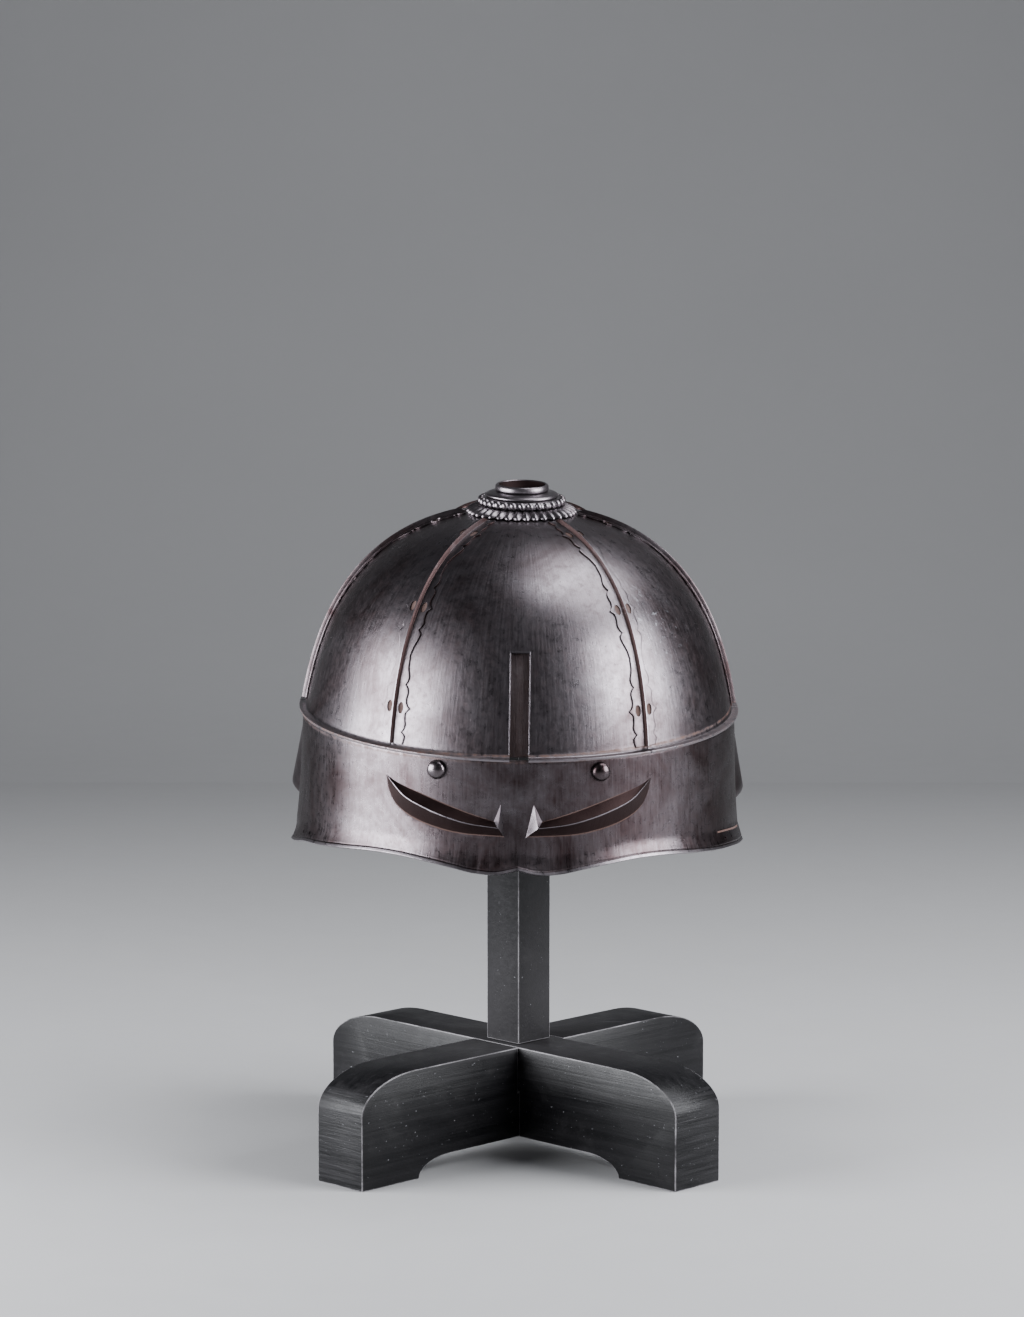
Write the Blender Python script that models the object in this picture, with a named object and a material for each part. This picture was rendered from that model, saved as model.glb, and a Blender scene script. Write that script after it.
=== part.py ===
# A samurai helmet of six iron plates on a plain wooden stand.
# Metres, +Z up. The front of the helmet looks along -Y and the stand rests on z = 0.
import math

import bmesh
import bpy
from mathutils import Matrix, Vector

MM = 0.001

# Where things stand: the helmet hangs forward a little and leans a hair to the right
GAP = 0.3
STAND_X = 0.4
STAND_Y = -14.6
HELMET_TILT = math.radians(6.0)
HELMET_ROLL = math.radians(0.8)
CROWN_SEAT_X = 1.6
CROWN_SEAT_HEIGHT = 336.0

# Bowl: half width, half depth and height of the plates' outer face, measured from the rim
BOWL_HALF_WIDTH = 111.8
BOWL_HALF_DEPTH = 119.0
BOWL_HEIGHT = 105.6
CROWN_SEAT_BELOW_TOP = 2.1
CROWN_SEAT_IN_HELMET = BOWL_HEIGHT - CROWN_SEAT_BELOW_TOP
BOWL_CURVE = ((1.0, 0.0), (0.93, 0.45), (0.745, 1.0), (0.0, 1.0))
PLATE_THICKNESS = 1.4
RIM_LIP_OUT = 3.6
RIM_LIP_THICKNESS = 1.2
CROWN_HOLE_RADIUS = 12.0
PLATE_ROWS = 12
PLATE_STEPS = (8, 5, 5, 6, 5, 5)

# Seams: angle from the front at the rim and at the crown
FRONT_SEAM_AT_RIM = math.radians(34.6)
FRONT_SEAM_AT_CROWN = math.radians(38.0)

# Seam strips: scalloped edge, standing rib and three pairs of oval holes
STRIP_HEIGHT = 1.5
STRIP_HALF_WIDTH = 8.9
STRIP_ROOT_HALF_WIDTH = 3.4
RIB_HEIGHT = 3.0
RIB_WIDTH = 1.3
CUSP_RISES = (0.14, 0.475, 0.79)
CUSP_REACH = 20.0
STATION_STEP = 8.5
CUSP_EDGE = ((-0.80, 0.68), (-0.57, 0.55), (-0.38, 0.77), (-0.12, 0.76), (0.0, 1.0),
             (0.20, 0.69), (0.50, 0.75), (0.64, 0.53), (0.90, 0.64))
OVAL_WIDTH = 3.5
OVAL_LENGTH = 5.3
OVAL_FROM_RIB = 3.4
OVAL_SIDES = 6

# Slot at the front with its floor strip
SLOT_WIDTH = 9.4
SLOT_HEIGHT = 50.6
SLOT_FLOOR_WIDTH = 15.0
SLOT_FLOOR_FROM = 3.5
SLOT_FLOOR_TO = 55.0
SLOT_FLOOR_THICKNESS = 1.0

# Visor: wall under the rim lip, edge turned outward
VISOR_OUT = 2.1
VISOR_THICKNESS = 1.6
VISOR_HALF_ANGLE = math.radians(81.0)
VISOR_DEPTH = 57.2
VISOR_LEAN = 0.03
VISOR_STEPS = 34
VISOR_EDGE = ((0.0, 0.96), (0.062, 1.0), (0.130, 0.998), (0.198, 0.967), (0.278, 0.937), (0.377, 0.918),
              (0.488, 0.934), (0.617, 0.988), (0.741, 1.047), (0.833, 1.086), (0.938, 1.136), (1.0, 1.154))
KEEL_OUT = 1.6
KEEL_SHARE = 0.17
EDGE_TURN_HEIGHT = 9.5
EDGE_TURN_FRONT = 3.5
EDGE_TURN_END = 5.2
EDGE_TURN_ROWS = ((1.0, 0.0), (0.55, 0.2), (0.22, 0.58), (0.0, 1.0))

# Raised brows on the visor: share of the half angle, share of the depth below the rim, share of the height
BROW_ANGLE = math.radians(35.0)
BROW_DROP = 39.2
BROW_HEIGHT = 6.0
BROW_SINK = 0.5
BROW_TIP = (1.035, 0.31)
BROW_UPPER = ((0.943, 0.383), (0.829, 0.436), (0.700, 0.495), (0.500, 0.602), (0.334, 0.694), (0.173, 0.781))
BROW_RIDGE = ((0.914, 0.449, 0.37), (0.817, 0.556, 0.63), (0.671, 0.648, 0.83), (0.500, 0.737, 0.92),
              (0.334, 0.809, 0.97), (0.134, 0.842, 1.0))
BROW_LOWER = ((1.010, 0.545), (0.935, 0.735), (0.800, 0.867), (0.610, 0.955), (0.390, 1.0), (0.079, 0.982))
BROW_HORN = (0.116, 0.578)

# Rivets on the visor
RIVET_RADIUS = 4.9
RIVET_HEIGHT = 4.5
RIVET_ANGLE = math.radians(20.9)
RIVET_DROP = 6.6

# Neck band: a ring under the rim, low behind the visor and deepest where it comes out at the sides
BAND_THICKNESS = 1.2
BAND_DEPTH = 41.5
BAND_SIDE_DEPTH = 47.5
BAND_FRONT_DEPTH = 15.0
BAND_FLARE = math.radians(12.5)
BAND_STEPS = 36

# Finial: petal ring, bead ring, smooth ring and the collar through them
FINIAL_HOLE_RADIUS = 11.9
PETAL_RADIUS = 29.0
PETAL_BASE = BOWL_HEIGHT - 1.6
PETAL_HEIGHT = 3.9
PETAL_COUNT = 36
BEAD_RADIUS = 23.6
BEAD_BASE = PETAL_BASE + PETAL_HEIGHT
BEAD_HEIGHT = 4.0
BEAD_COUNT = 30
SMOOTH_RADIUS = 18.9
SMOOTH_BASE = BEAD_BASE + BEAD_HEIGHT
COLLAR_STEPS = 24
COLLAR_RADIUS = 11.6
COLLAR_BORE_RADIUS = 9.4
COLLAR_LIP_RADIUS = 14.0
COLLAR_MOUTH_RADIUS = 12.3
COLLAR_HEIGHT = 6.5
COLLAR_TOP = SMOOTH_BASE + COLLAR_HEIGHT
COLLAR_FOOT = BOWL_HEIGHT - 1.1

# Stand: two half-lapped bars and a post with a domed head that carries the helmet
BAR_HALF_LENGTH = 128.0
BAR_WIDTH = 33.0
BAR_HEIGHT = 57.0
FOOT_LENGTH = 39.5
ARCH_HEIGHT = 9.5
ARCH_RISE_RUN = 22.0
SHOULDER_RUN = 38.0
SHOULDER_DROP = 19.0
POST_WIDTH = 23.5
HEAD_RADIUS = 30.0
HEAD_EDGE = 4.0
HEAD_TAPER_HEIGHT = 26.0
HEAD_SIDES = 24

IRON = (0.115, 0.095, 0.090, 1.0)
RUSTY_IRON = (0.150, 0.085, 0.065, 1.0)
BLACK_WOOD = (0.035, 0.034, 0.036, 1.0)


# Clear the scene and set up the two places that parts hang from
for old in list(bpy.data.objects):
    bpy.data.objects.remove(old, do_unlink=True)


def add_empty(name, location, tilt, roll):
    empty = bpy.data.objects.new(name, None)
    empty.location = Vector(location) * MM
    empty.rotation_euler = (tilt, roll, 0.0)
    bpy.context.collection.objects.link(empty)
    return empty


stand_place = add_empty("stand_place", (STAND_X, STAND_Y, 0.0), 0.0, 0.0)
seat_centre = (STAND_X + CROWN_SEAT_X, STAND_Y, CROWN_SEAT_HEIGHT)
seat_place = add_empty("seat_place", seat_centre, HELMET_TILT, HELMET_ROLL)


def make_material(name, colour, metallic, roughness):
    material = bpy.data.materials.new(name)
    material.use_nodes = True
    shader = material.node_tree.nodes["Principled BSDF"]
    shader.inputs["Base Color"].default_value = colour
    shader.inputs["Metallic"].default_value = metallic
    shader.inputs["Roughness"].default_value = roughness
    return material


def add_piece(name, points, faces, place, colour=IRON, metallic=1.0, roughness=0.42):
    """Make an object from points in millimetres, with every face turned outward."""
    mesh = bpy.data.meshes.new(name)
    mesh.from_pydata([Vector(point) * MM for point in points], [], faces)
    builder = bmesh.new()
    builder.from_mesh(mesh)
    bmesh.ops.recalc_face_normals(builder, faces=builder.faces)
    builder.to_mesh(mesh)
    builder.free()
    piece = bpy.data.objects.new(name, mesh)
    piece.data.materials.append(make_material(name + "_material", colour, metallic, roughness))
    piece.parent = place
    if place is seat_place:
        piece.location = (0.0, 0.0, -CROWN_SEAT_IN_HELMET * MM)
    bpy.context.collection.objects.link(piece)
    return piece


def combine(piece, tool, operation):
    """Cut or join a tool object into a piece and hide the tool."""
    tool.hide_render = True
    tool.display_type = "WIRE"
    modifier = piece.modifiers.new(tool.name, "BOOLEAN")
    modifier.operation = operation
    modifier.solver = "EXACT"
    modifier.object = tool


def shell_faces(stations, rows, closed=False):
    """Faces of a sheet: outer grid first, inner grid after it, both station by station."""
    inner = stations * rows
    faces = []
    for station in range(stations if closed else stations - 1):
        here = station * rows
        after = (station + 1) % stations * rows
        for row in range(rows - 1):
            faces.append((here + row, after + row, after + row + 1, here + row + 1))
            faces.append((inner + here + row + 1, inner + after + row + 1, inner + after + row, inner + here + row))
        faces.append((here, inner + here, inner + after, after))
        faces.append((here + rows - 1, after + rows - 1, inner + after + rows - 1, inner + here + rows - 1))
    if not closed:
        last = (stations - 1) * rows
        for row in range(rows - 1):
            faces.append((row, row + 1, inner + row + 1, inner + row))
            faces.append((last + row + 1, last + row, inner + last + row, inner + last + row + 1))
    return faces


def add_shell(name, outer, inner, closed=False, **look):
    """A sheet between two grids of points, each a list of stations with the same rows."""
    points = [point for station in outer for point in station]
    points += [point for station in inner for point in station]
    return add_piece(name, points, shell_faces(len(outer), len(outer[0]), closed), seat_place, **look)


def loft_faces(rings, sides):
    """Faces of a closed solid through rings of points, with both ends capped."""
    faces = [tuple(range(sides)), tuple(range((rings - 1) * sides, rings * sides))]
    for ring in range(rings - 1):
        for side in range(sides):
            beside = (side + 1) % sides
            here = ring * sides
            faces.append((here + side, here + beside, here + sides + beside, here + sides + side))
    return faces


def ring_faces(stations, points):
    """Faces of a ring: a closed section carried round all the stations."""
    faces = []
    for station in range(stations):
        here = station * points
        after = (station + 1) % stations * points
        for point in range(points):
            beside = (point + 1) % points
            faces.append((here + point, after + point, after + beside, here + beside))
    return faces


def lerp(start, end, share):
    return start + (end - start) * share


def ease(start, end, value):
    """Smooth step from 0 at start to 1 at end."""
    share = min(1.0, max(0.0, (value - start) / (end - start)))
    return share * share * (3.0 - 2.0 * share)


def read_table(table, share, column=1):
    """Straight-line reading of a table whose first column rises."""
    if share <= table[0][0]:
        return table[0][column]
    for before, after in zip(table, table[1:]):
        if share <= after[0]:
            return lerp(before[column], after[column], (share - before[0]) / (after[0] - before[0]))
    return table[-1][column]


# The bowl's outer face. Rise runs from 0 at the rim to 1 at the crown, angle from the front.
def bowl_curve(rise):
    fall = 1.0 - rise
    weights = (fall ** 3, 3 * rise * fall ** 2, 3 * rise ** 2 * fall, rise ** 3)
    reach = sum(weight * knot[0] for weight, knot in zip(weights, BOWL_CURVE))
    height = sum(weight * knot[1] for weight, knot in zip(weights, BOWL_CURVE))
    return reach, height


def bowl_normal(rise):
    step = 0.001
    reach_a, height_a = bowl_curve(max(0.0, rise - step))
    reach_b, height_b = bowl_curve(min(1.0, rise + step))
    radius = (BOWL_HALF_WIDTH + BOWL_HALF_DEPTH) / 2
    along = Vector(((reach_b - reach_a) * radius, (height_b - height_a) * BOWL_HEIGHT)).normalized()
    return along.y, -along.x


def bowl_point(angle, rise, out):
    reach, height = bowl_curve(rise)
    normal_reach, normal_height = bowl_normal(rise)
    spread = out * normal_reach
    x = (BOWL_HALF_WIDTH * reach + spread) * math.sin(angle)
    y = -(BOWL_HALF_DEPTH * reach + spread) * math.cos(angle)
    return x, y, BOWL_HEIGHT * height + out * normal_height


def wall_point(angle, z, out):
    """Point on an upright wall that follows the rim's plan."""
    return (BOWL_HALF_WIDTH + out) * math.sin(angle), -(BOWL_HALF_DEPTH + out) * math.cos(angle), z


def plan_radius(angle, rise):
    reach = bowl_curve(rise)[0]
    across = BOWL_HALF_WIDTH * math.cos(angle)
    along = BOWL_HALF_DEPTH * math.sin(angle)
    return reach * math.hypot(across, along)


def rise_for_reach(reach):
    low, high = 0.0, 1.0
    for _ in range(40):
        middle = (low + high) / 2
        if bowl_curve(middle)[0] > reach:
            low = middle
        else:
            high = middle
    return low


def rise_for_height(height):
    low, high = 0.0, 1.0
    for _ in range(40):
        middle = (low + high) / 2
        if bowl_curve(middle)[1] * BOWL_HEIGHT < height:
            low = middle
        else:
            high = middle
    return low


def bowl_height_at(x, y):
    reach = math.hypot(x / BOWL_HALF_WIDTH, y / BOWL_HALF_DEPTH)
    return bowl_curve(rise_for_reach(reach))[1] * BOWL_HEIGHT


# The six seams, named by the plate on their left when seen from above going round from the front
def seam_angle(seam, rise):
    front = lerp(FRONT_SEAM_AT_RIM, FRONT_SEAM_AT_CROWN, rise)
    angles = {
        "front_right": front,
        "right": math.pi / 2,
        "back_right": math.pi - front,
        "back_left": math.pi + front,
        "left": math.pi * 1.5,
        "front_left": math.tau - front,
    }
    return angles[seam]


PLATES = (
    ("bowl_plate_front", "front_left", "front_right"),
    ("bowl_plate_front_right", "front_right", "right"),
    ("bowl_plate_back_right", "right", "back_right"),
    ("bowl_plate_back", "back_right", "back_left"),
    ("bowl_plate_back_left", "back_left", "left"),
    ("bowl_plate_front_left", "left", "front_left"),
)

CROWN_RISE = rise_for_reach(CROWN_HOLE_RADIUS / BOWL_HALF_WIDTH)
LIP_RISE = rise_for_height(RIM_LIP_THICKNESS + 1.0)
plate_rises = [lerp(LIP_RISE, CROWN_RISE, row / PLATE_ROWS) for row in range(PLATE_ROWS + 1)]

for (plate_name, seam_from, seam_to), steps in zip(PLATES, PLATE_STEPS):
    outer, inner = [], []
    for step in range(steps + 1):
        outer_row, inner_row = [], []
        for level in range(-2, len(plate_rises)):
            rise = plate_rises[max(level, 0)] if level >= 0 else 0.0
            start = seam_angle(seam_from, rise)
            turn = (seam_angle(seam_to, rise) - start) % math.tau
            start += GAP / 2 / plan_radius(start, rise)
            turn -= GAP / plan_radius(start, rise)
            angle = start + turn * step / steps
            if level < 0:
                z = 0.0 if level == -2 else RIM_LIP_THICKNESS
                outer_row.append(wall_point(angle, z, RIM_LIP_OUT))
                inner_row.append(wall_point(angle, z, -PLATE_THICKNESS - 0.05 * z))
            else:
                outer_row.append(bowl_point(angle, rise, 0.0))
                inner_row.append(bowl_point(angle, rise, -PLATE_THICKNESS))
        outer.append(outer_row)
        inner.append(inner_row)
    plate = add_shell(plate_name, outer, inner)
    if plate_name == "bowl_plate_front":
        front_plate = plate


def add_box_tool(name, low, high):
    corners = [(x, y, z) for z in (low[2], high[2]) for x, y in
               ((low[0], low[1]), (high[0], low[1]), (high[0], high[1]), (low[0], high[1]))]
    return add_piece(name, corners, loft_faces(2, 4), seat_place)


slot_tool = add_box_tool("slot_tool", (-SLOT_WIDTH / 2, -BOWL_HALF_DEPTH * 1.08, -SLOT_HEIGHT / 10),
                         (SLOT_WIDTH / 2, -BOWL_HALF_DEPTH / 2, SLOT_HEIGHT))
combine(front_plate, slot_tool, "DIFFERENCE")

# Floor strip behind the slot
floor_rises = [lerp(rise_for_height(SLOT_FLOOR_FROM), rise_for_height(SLOT_FLOOR_TO), row / 7) for row in range(8)]
outer, inner = [], []
for side in (-0.5, 0.0, 0.5):
    outer_row, inner_row = [], []
    for rise in floor_rises:
        angle = side * SLOT_FLOOR_WIDTH / (BOWL_HALF_WIDTH * bowl_curve(rise)[0])
        outer_row.append(bowl_point(angle, rise, -PLATE_THICKNESS - 2 * GAP))
        inner_row.append(bowl_point(angle, rise, -PLATE_THICKNESS - 2 * GAP - SLOT_FLOOR_THICKNESS))
    outer.append(outer_row)
    inner.append(inner_row)
add_shell("crest_slot_floor", outer, inner, colour=RUSTY_IRON, roughness=0.8)

# Seam strips
PROFILE_ARC = [0.0]
ARC_STEPS = 200
for step in range(ARC_STEPS):
    here = bowl_curve(step / ARC_STEPS)
    after = bowl_curve((step + 1) / ARC_STEPS)
    run = (here[0] - after[0]) * (BOWL_HALF_WIDTH + BOWL_HALF_DEPTH) / 2
    climb = (after[1] - here[1]) * BOWL_HEIGHT
    PROFILE_ARC.append(PROFILE_ARC[-1] + math.hypot(run, climb))


def arc_for_rise(rise):
    return PROFILE_ARC[round(rise * ARC_STEPS)]


def rise_for_arc(arc):
    for step in range(ARC_STEPS):
        if PROFILE_ARC[step + 1] >= arc:
            share = (arc - PROFILE_ARC[step]) / (PROFILE_ARC[step + 1] - PROFILE_ARC[step])
            return (step + share) / ARC_STEPS
    return 1.0


def strip_stations(first_arc, last_arc):
    """Distance up the strip and half width there: a scalloped group round each pair of ovals."""
    stations = []
    for rise in CUSP_RISES:
        centre = arc_for_rise(rise)
        narrowing = 1.0 - 0.16 * rise
        for reach, width in CUSP_EDGE:
            stations.append((centre + reach * CUSP_REACH, width * STRIP_HALF_WIDTH * narrowing))
    kept = [station for station in stations if first_arc + 1.5 < station[0] < last_arc - 1.5]
    kept = [(first_arc, kept[0][1])] + kept + [(last_arc, STRIP_ROOT_HALF_WIDTH)]
    filled = [kept[0]]
    for before, after in zip(kept, kept[1:]):
        parts = math.ceil((after[0] - before[0]) / STATION_STEP)
        for part in range(1, parts + 1):
            filled.append((lerp(before[0], after[0], part / parts), lerp(before[1], after[1], part / parts)))
    return filled


def seam_frame(seam, rise, side, out):
    """Point beside a seam, at a distance to the side along the plate and out from it."""
    angle = seam_angle(seam, rise)
    return bowl_point(angle + side / plan_radius(angle, rise), rise, out)


def add_oval_tool(name, seam):
    """One tool with the six oval holes of a strip."""
    points, faces = [], []
    for rise in CUSP_RISES:
        for side in (-OVAL_FROM_RIB, OVAL_FROM_RIB):
            base = len(points)
            for out in (-0.4, STRIP_HEIGHT + 0.6):
                for corner in range(OVAL_SIDES):
                    turn = math.tau * (corner + 0.5) / OVAL_SIDES
                    arc = arc_for_rise(rise) + math.sin(turn) * OVAL_LENGTH / 2
                    across = side + math.cos(turn) * OVAL_WIDTH / 2
                    points.append(seam_frame(seam, rise_for_arc(arc), across, out))
            for face in loft_faces(2, OVAL_SIDES):
                faces.append(tuple(base + corner for corner in face))
    return add_piece(name, points, faces, seat_place)


FINIAL_CLEAR_REACH = (PETAL_RADIUS + GAP + 0.2) / BOWL_HALF_WIDTH
STRIP_END_RISE = rise_for_reach(FINIAL_CLEAR_REACH)

for seam in ("front_left", "front_right", "right", "back_right", "back_left", "left"):
    first_arc = RIM_LIP_THICKNESS + 1.6
    last_arc = arc_for_rise(STRIP_END_RISE - 0.5 / ARC_STEPS)
    points = []
    stations = strip_stations(first_arc, last_arc)
    for arc, half_width in stations:
        rise = rise_for_arc(arc)
        foot = RIB_WIDTH / 2
        section = (
            (-half_width, GAP), (-half_width, STRIP_HEIGHT), (-foot, STRIP_HEIGHT), (0.0, RIB_HEIGHT),
            (foot, STRIP_HEIGHT), (half_width, STRIP_HEIGHT), (half_width, GAP), (0.0, GAP),
        )
        points += [seam_frame(seam, rise, side, out) for side, out in section]
    sides = len(points) // len(stations)
    strip = add_piece("seam_strip_" + seam, points, loft_faces(len(stations), sides), seat_place)
    combine(strip, add_oval_tool("oval_tool_" + seam, seam), "DIFFERENCE")


# Visor
def visor_out(angle, z):
    """How far the visor's outer face stands out at an angle and height, without the turned edge."""
    share = min(1.0, abs(angle) / VISOR_HALF_ANGLE)
    keel = KEEL_OUT * max(0.0, 1.0 - share / KEEL_SHARE) * min(1.0, 0.2 - z / VISOR_DEPTH)
    return VISOR_OUT + VISOR_LEAN * -z + keel


outer, inner = [], []
for step in range(VISOR_STEPS + 1):
    angle = lerp(-VISOR_HALF_ANGLE, VISOR_HALF_ANGLE, step / VISOR_STEPS)
    share = abs(angle) / VISOR_HALF_ANGLE
    low = -VISOR_DEPTH * read_table(VISOR_EDGE, share)
    turn_out = lerp(EDGE_TURN_FRONT, EDGE_TURN_END, share)
    outer_row = [wall_point(angle, -GAP, visor_out(angle, -GAP))]
    inner_row = [wall_point(angle, -GAP, visor_out(angle, -GAP) - VISOR_THICKNESS)]
    for drop, out_share in EDGE_TURN_ROWS:
        z = low + drop * EDGE_TURN_HEIGHT
        out = visor_out(angle, z) + out_share * turn_out
        outer_row.append(wall_point(angle, z, out))
        inner_row.append(wall_point(angle, z - 0.5 * out_share, out - VISOR_THICKNESS * lerp(1.0, 0.9, out_share)))
    outer.append(outer_row)
    inner.append(inner_row)
visor = add_shell("visor", outer, inner)


def add_brow_tool(name, side):
    """A crescent with a sharp ridge and a small horn at its inner end."""
    def place(angle_share, drop_share, out):
        angle = side * angle_share * BROW_ANGLE
        z = -drop_share * BROW_DROP
        return wall_point(angle, z, visor_out(angle, z) + out)

    points = [place(BROW_TIP[0], BROW_TIP[1], -BROW_SINK)]
    for upper, ridge, lower in zip(BROW_UPPER, BROW_RIDGE, BROW_LOWER):
        points.append(place(upper[0], upper[1], -BROW_SINK))
        points.append(place(ridge[0], ridge[1], ridge[2] * BROW_HEIGHT))
        points.append(place(lower[0], lower[1], -BROW_SINK))
        points.append(place(ridge[0], ridge[1], -2 * BROW_SINK))
    points.append(place(BROW_HORN[0], BROW_HORN[1], -BROW_SINK))
    faces = [(0, 1, 2), (0, 2, 3), (0, 3, 4), (0, 4, 1)]
    count = len(BROW_RIDGE)
    for station in range(count - 1):
        here = 1 + 4 * station
        after = here + 4
        for corner in range(4):
            beside = (corner + 1) % 4
            faces.append((here + corner, after + corner, here + beside))
            faces.append((after + corner, after + beside, here + beside))
    end = 1 + 4 * (count - 1)
    horn = len(points) - 1
    faces += [(end, horn, end + 1), (horn, end + 2, end + 1), (end + 3, horn, end), (end + 3, end + 2, horn)]
    return add_piece(name, points, faces, seat_place)


for side, side_name in ((-1, "left"), (1, "right")):
    combine(visor, add_brow_tool("brow_tool_" + side_name, side), "UNION")

# Rivets: low domes on the visor
for side, side_name in ((-1, "left"), (1, "right")):
    angle = side * RIVET_ANGLE
    centre = Vector(wall_point(angle, -RIVET_DROP, visor_out(angle, -RIVET_DROP) + GAP))
    facing = Vector((math.sin(angle) / BOWL_HALF_WIDTH, -math.cos(angle) / BOWL_HALF_DEPTH, 0.0)).normalized()
    across = Vector((-facing.y, facing.x, 0.0))
    points = []
    sides = 12
    for share, lift in ((1.0, 0.0), (1.0, 0.16), (0.82, 0.62), (0.45, 0.92)):
        for corner in range(sides):
            turn = math.tau * corner / sides
            spread = across * math.cos(turn) + Vector((0, 0, 1)) * math.sin(turn)
            points.append(centre + spread * RIVET_RADIUS * share + facing * RIVET_HEIGHT * lift)
    add_piece("visor_rivet_" + side_name, points, loft_faces(4, sides), seat_place)

# Neck band
outer, inner = [], []
for step in range(BAND_STEPS):
    angle = -math.pi + math.tau * step / BAND_STEPS
    degrees = abs(math.degrees(angle))
    depth = lerp(BAND_FRONT_DEPTH, BAND_SIDE_DEPTH, ease(52.0, 78.0, degrees))
    depth = lerp(depth, BAND_DEPTH, ease(82.0, 100.0, degrees))
    slope = math.tan(BAND_FLARE) * ease(80.0, 94.0, degrees)
    outer_row, inner_row = [], []
    for drop in (0.0, 0.33, 0.67, 1.0):
        z = -GAP - drop * (depth - GAP)
        out = slope * -z
        outer_row.append(wall_point(angle, z, out))
        inner_row.append(wall_point(angle, z, out - BAND_THICKNESS))
    outer.append(outer_row)
    inner.append(inner_row)
add_shell("neck_band", outer, inner, closed=True)


# Finial rings
def add_ring(name, stations, section_at):
    """A ring whose section may change from station to station."""
    points = []
    for station in range(stations):
        angle = math.tau * station / stations
        section = section_at(station, angle)
        points += [(radius * math.sin(angle), -radius * math.cos(angle), z) for radius, z in section]
    return add_piece(name, points, ring_faces(stations, len(points) // stations), seat_place)


def seat_height(radius, angle):
    return bowl_height_at(radius * math.sin(angle), -radius * math.cos(angle)) + GAP + 0.15


def petal_section(station, angle):
    crest = station % 2 == 0
    outer_radius = PETAL_RADIUS if crest else PETAL_RADIUS - 1.6
    rise = 0.0 if crest else -0.8
    return (
        (FINIAL_HOLE_RADIUS, seat_height(FINIAL_HOLE_RADIUS, angle)),
        (outer_radius, seat_height(outer_radius, angle)),
        (outer_radius, PETAL_BASE + 0.5),
        (outer_radius - 2.4, PETAL_BASE + 3.2 + rise),
        (FINIAL_HOLE_RADIUS, BEAD_BASE - GAP),
    )


def bead_section(station, angle):
    crest = station % 2 == 0
    outer_radius = BEAD_RADIUS if crest else BEAD_RADIUS - 1.2
    return (
        (FINIAL_HOLE_RADIUS, BEAD_BASE),
        (outer_radius - 0.8, BEAD_BASE),
        (outer_radius, BEAD_BASE + 2.1),
        (outer_radius - 1.8, BEAD_BASE + (3.6 if crest else 3.0)),
        (FINIAL_HOLE_RADIUS, SMOOTH_BASE - GAP),
    )


def smooth_section(station, angle):
    return (
        (FINIAL_HOLE_RADIUS, SMOOTH_BASE),
        (SMOOTH_RADIUS - 1.0, SMOOTH_BASE),
        (SMOOTH_RADIUS, SMOOTH_BASE + 1.2),
        (SMOOTH_RADIUS - 0.8, SMOOTH_BASE + 2.4),
        (SMOOTH_RADIUS - 2.6, SMOOTH_BASE + 2.8),
        (FINIAL_HOLE_RADIUS, SMOOTH_BASE + 2.7),
    )


def collar_section(station, angle):
    lip_foot = SMOOTH_BASE + 2.7 + GAP
    return (
        (COLLAR_RADIUS, COLLAR_FOOT),
        (COLLAR_RADIUS, lip_foot),
        (COLLAR_LIP_RADIUS - 0.4, lip_foot + 0.2),
        (COLLAR_LIP_RADIUS, lip_foot + 1.2),
        (COLLAR_LIP_RADIUS - 0.4, COLLAR_TOP - 0.4),
        (COLLAR_MOUTH_RADIUS + 0.5, COLLAR_TOP),
        (COLLAR_MOUTH_RADIUS, COLLAR_TOP - 0.3),
        (COLLAR_BORE_RADIUS, COLLAR_TOP - 4.0),
        (COLLAR_BORE_RADIUS, COLLAR_FOOT),
    )


add_ring("finial_petal_ring", PETAL_COUNT * 2, petal_section)
add_ring("finial_bead_ring", BEAD_COUNT * 2, bead_section)
add_ring("finial_smooth_ring", COLLAR_STEPS, smooth_section)
add_ring("finial_collar", COLLAR_STEPS, collar_section)

# Stand bars: one outline, cut over or under at the middle, across the width
shoulder = []
for step in range(7):
    turn = math.pi / 2 * step / 6
    along = BAR_HALF_LENGTH - SHOULDER_RUN + SHOULDER_RUN * math.sin(turn)
    shoulder.append((along, BAR_HEIGHT - SHOULDER_DROP + SHOULDER_DROP * math.cos(turn)))
foot_start = BAR_HALF_LENGTH - FOOT_LENGTH
arch = []
for step in range(6):
    turn = math.pi / 2 * step / 5
    arch.append((foot_start - ARCH_RISE_RUN * (1 - math.cos(turn)), ARCH_HEIGHT * math.sin(turn)))


def bar_outline(notch_on_top):
    lap = (BAR_HEIGHT + ARCH_HEIGHT) / 2
    notch = BAR_WIDTH / 2 + GAP
    right = [(along, z) for along, z in reversed(arch)]
    right += [(BAR_HALF_LENGTH, 0.0)] + list(reversed(shoulder))
    if notch_on_top:
        middle_top = [(notch, BAR_HEIGHT), (notch, lap - GAP / 2)]
        middle_low = []
    else:
        middle_top = []
        middle_low = [(notch, lap + GAP / 2), (notch, ARCH_HEIGHT)]
    half = middle_low + right + middle_top
    return half + [(-along, z) for along, z in reversed(half)]


def add_bar(name, turn, notch_on_top):
    outline = bar_outline(notch_on_top)
    points = []
    for across in (-BAR_WIDTH / 2, BAR_WIDTH / 2):
        points += [(along, across, z) for along, z in outline]
    bar = add_piece(name, points, loft_faces(2, len(outline)), stand_place, BLACK_WOOD, 0.0, 0.5)
    bar.rotation_euler = (0.0, 0.0, turn)


add_bar("stand_bar_lower", math.radians(45.0), True)
add_bar("stand_bar_upper", math.radians(-45.0), False)

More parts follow.
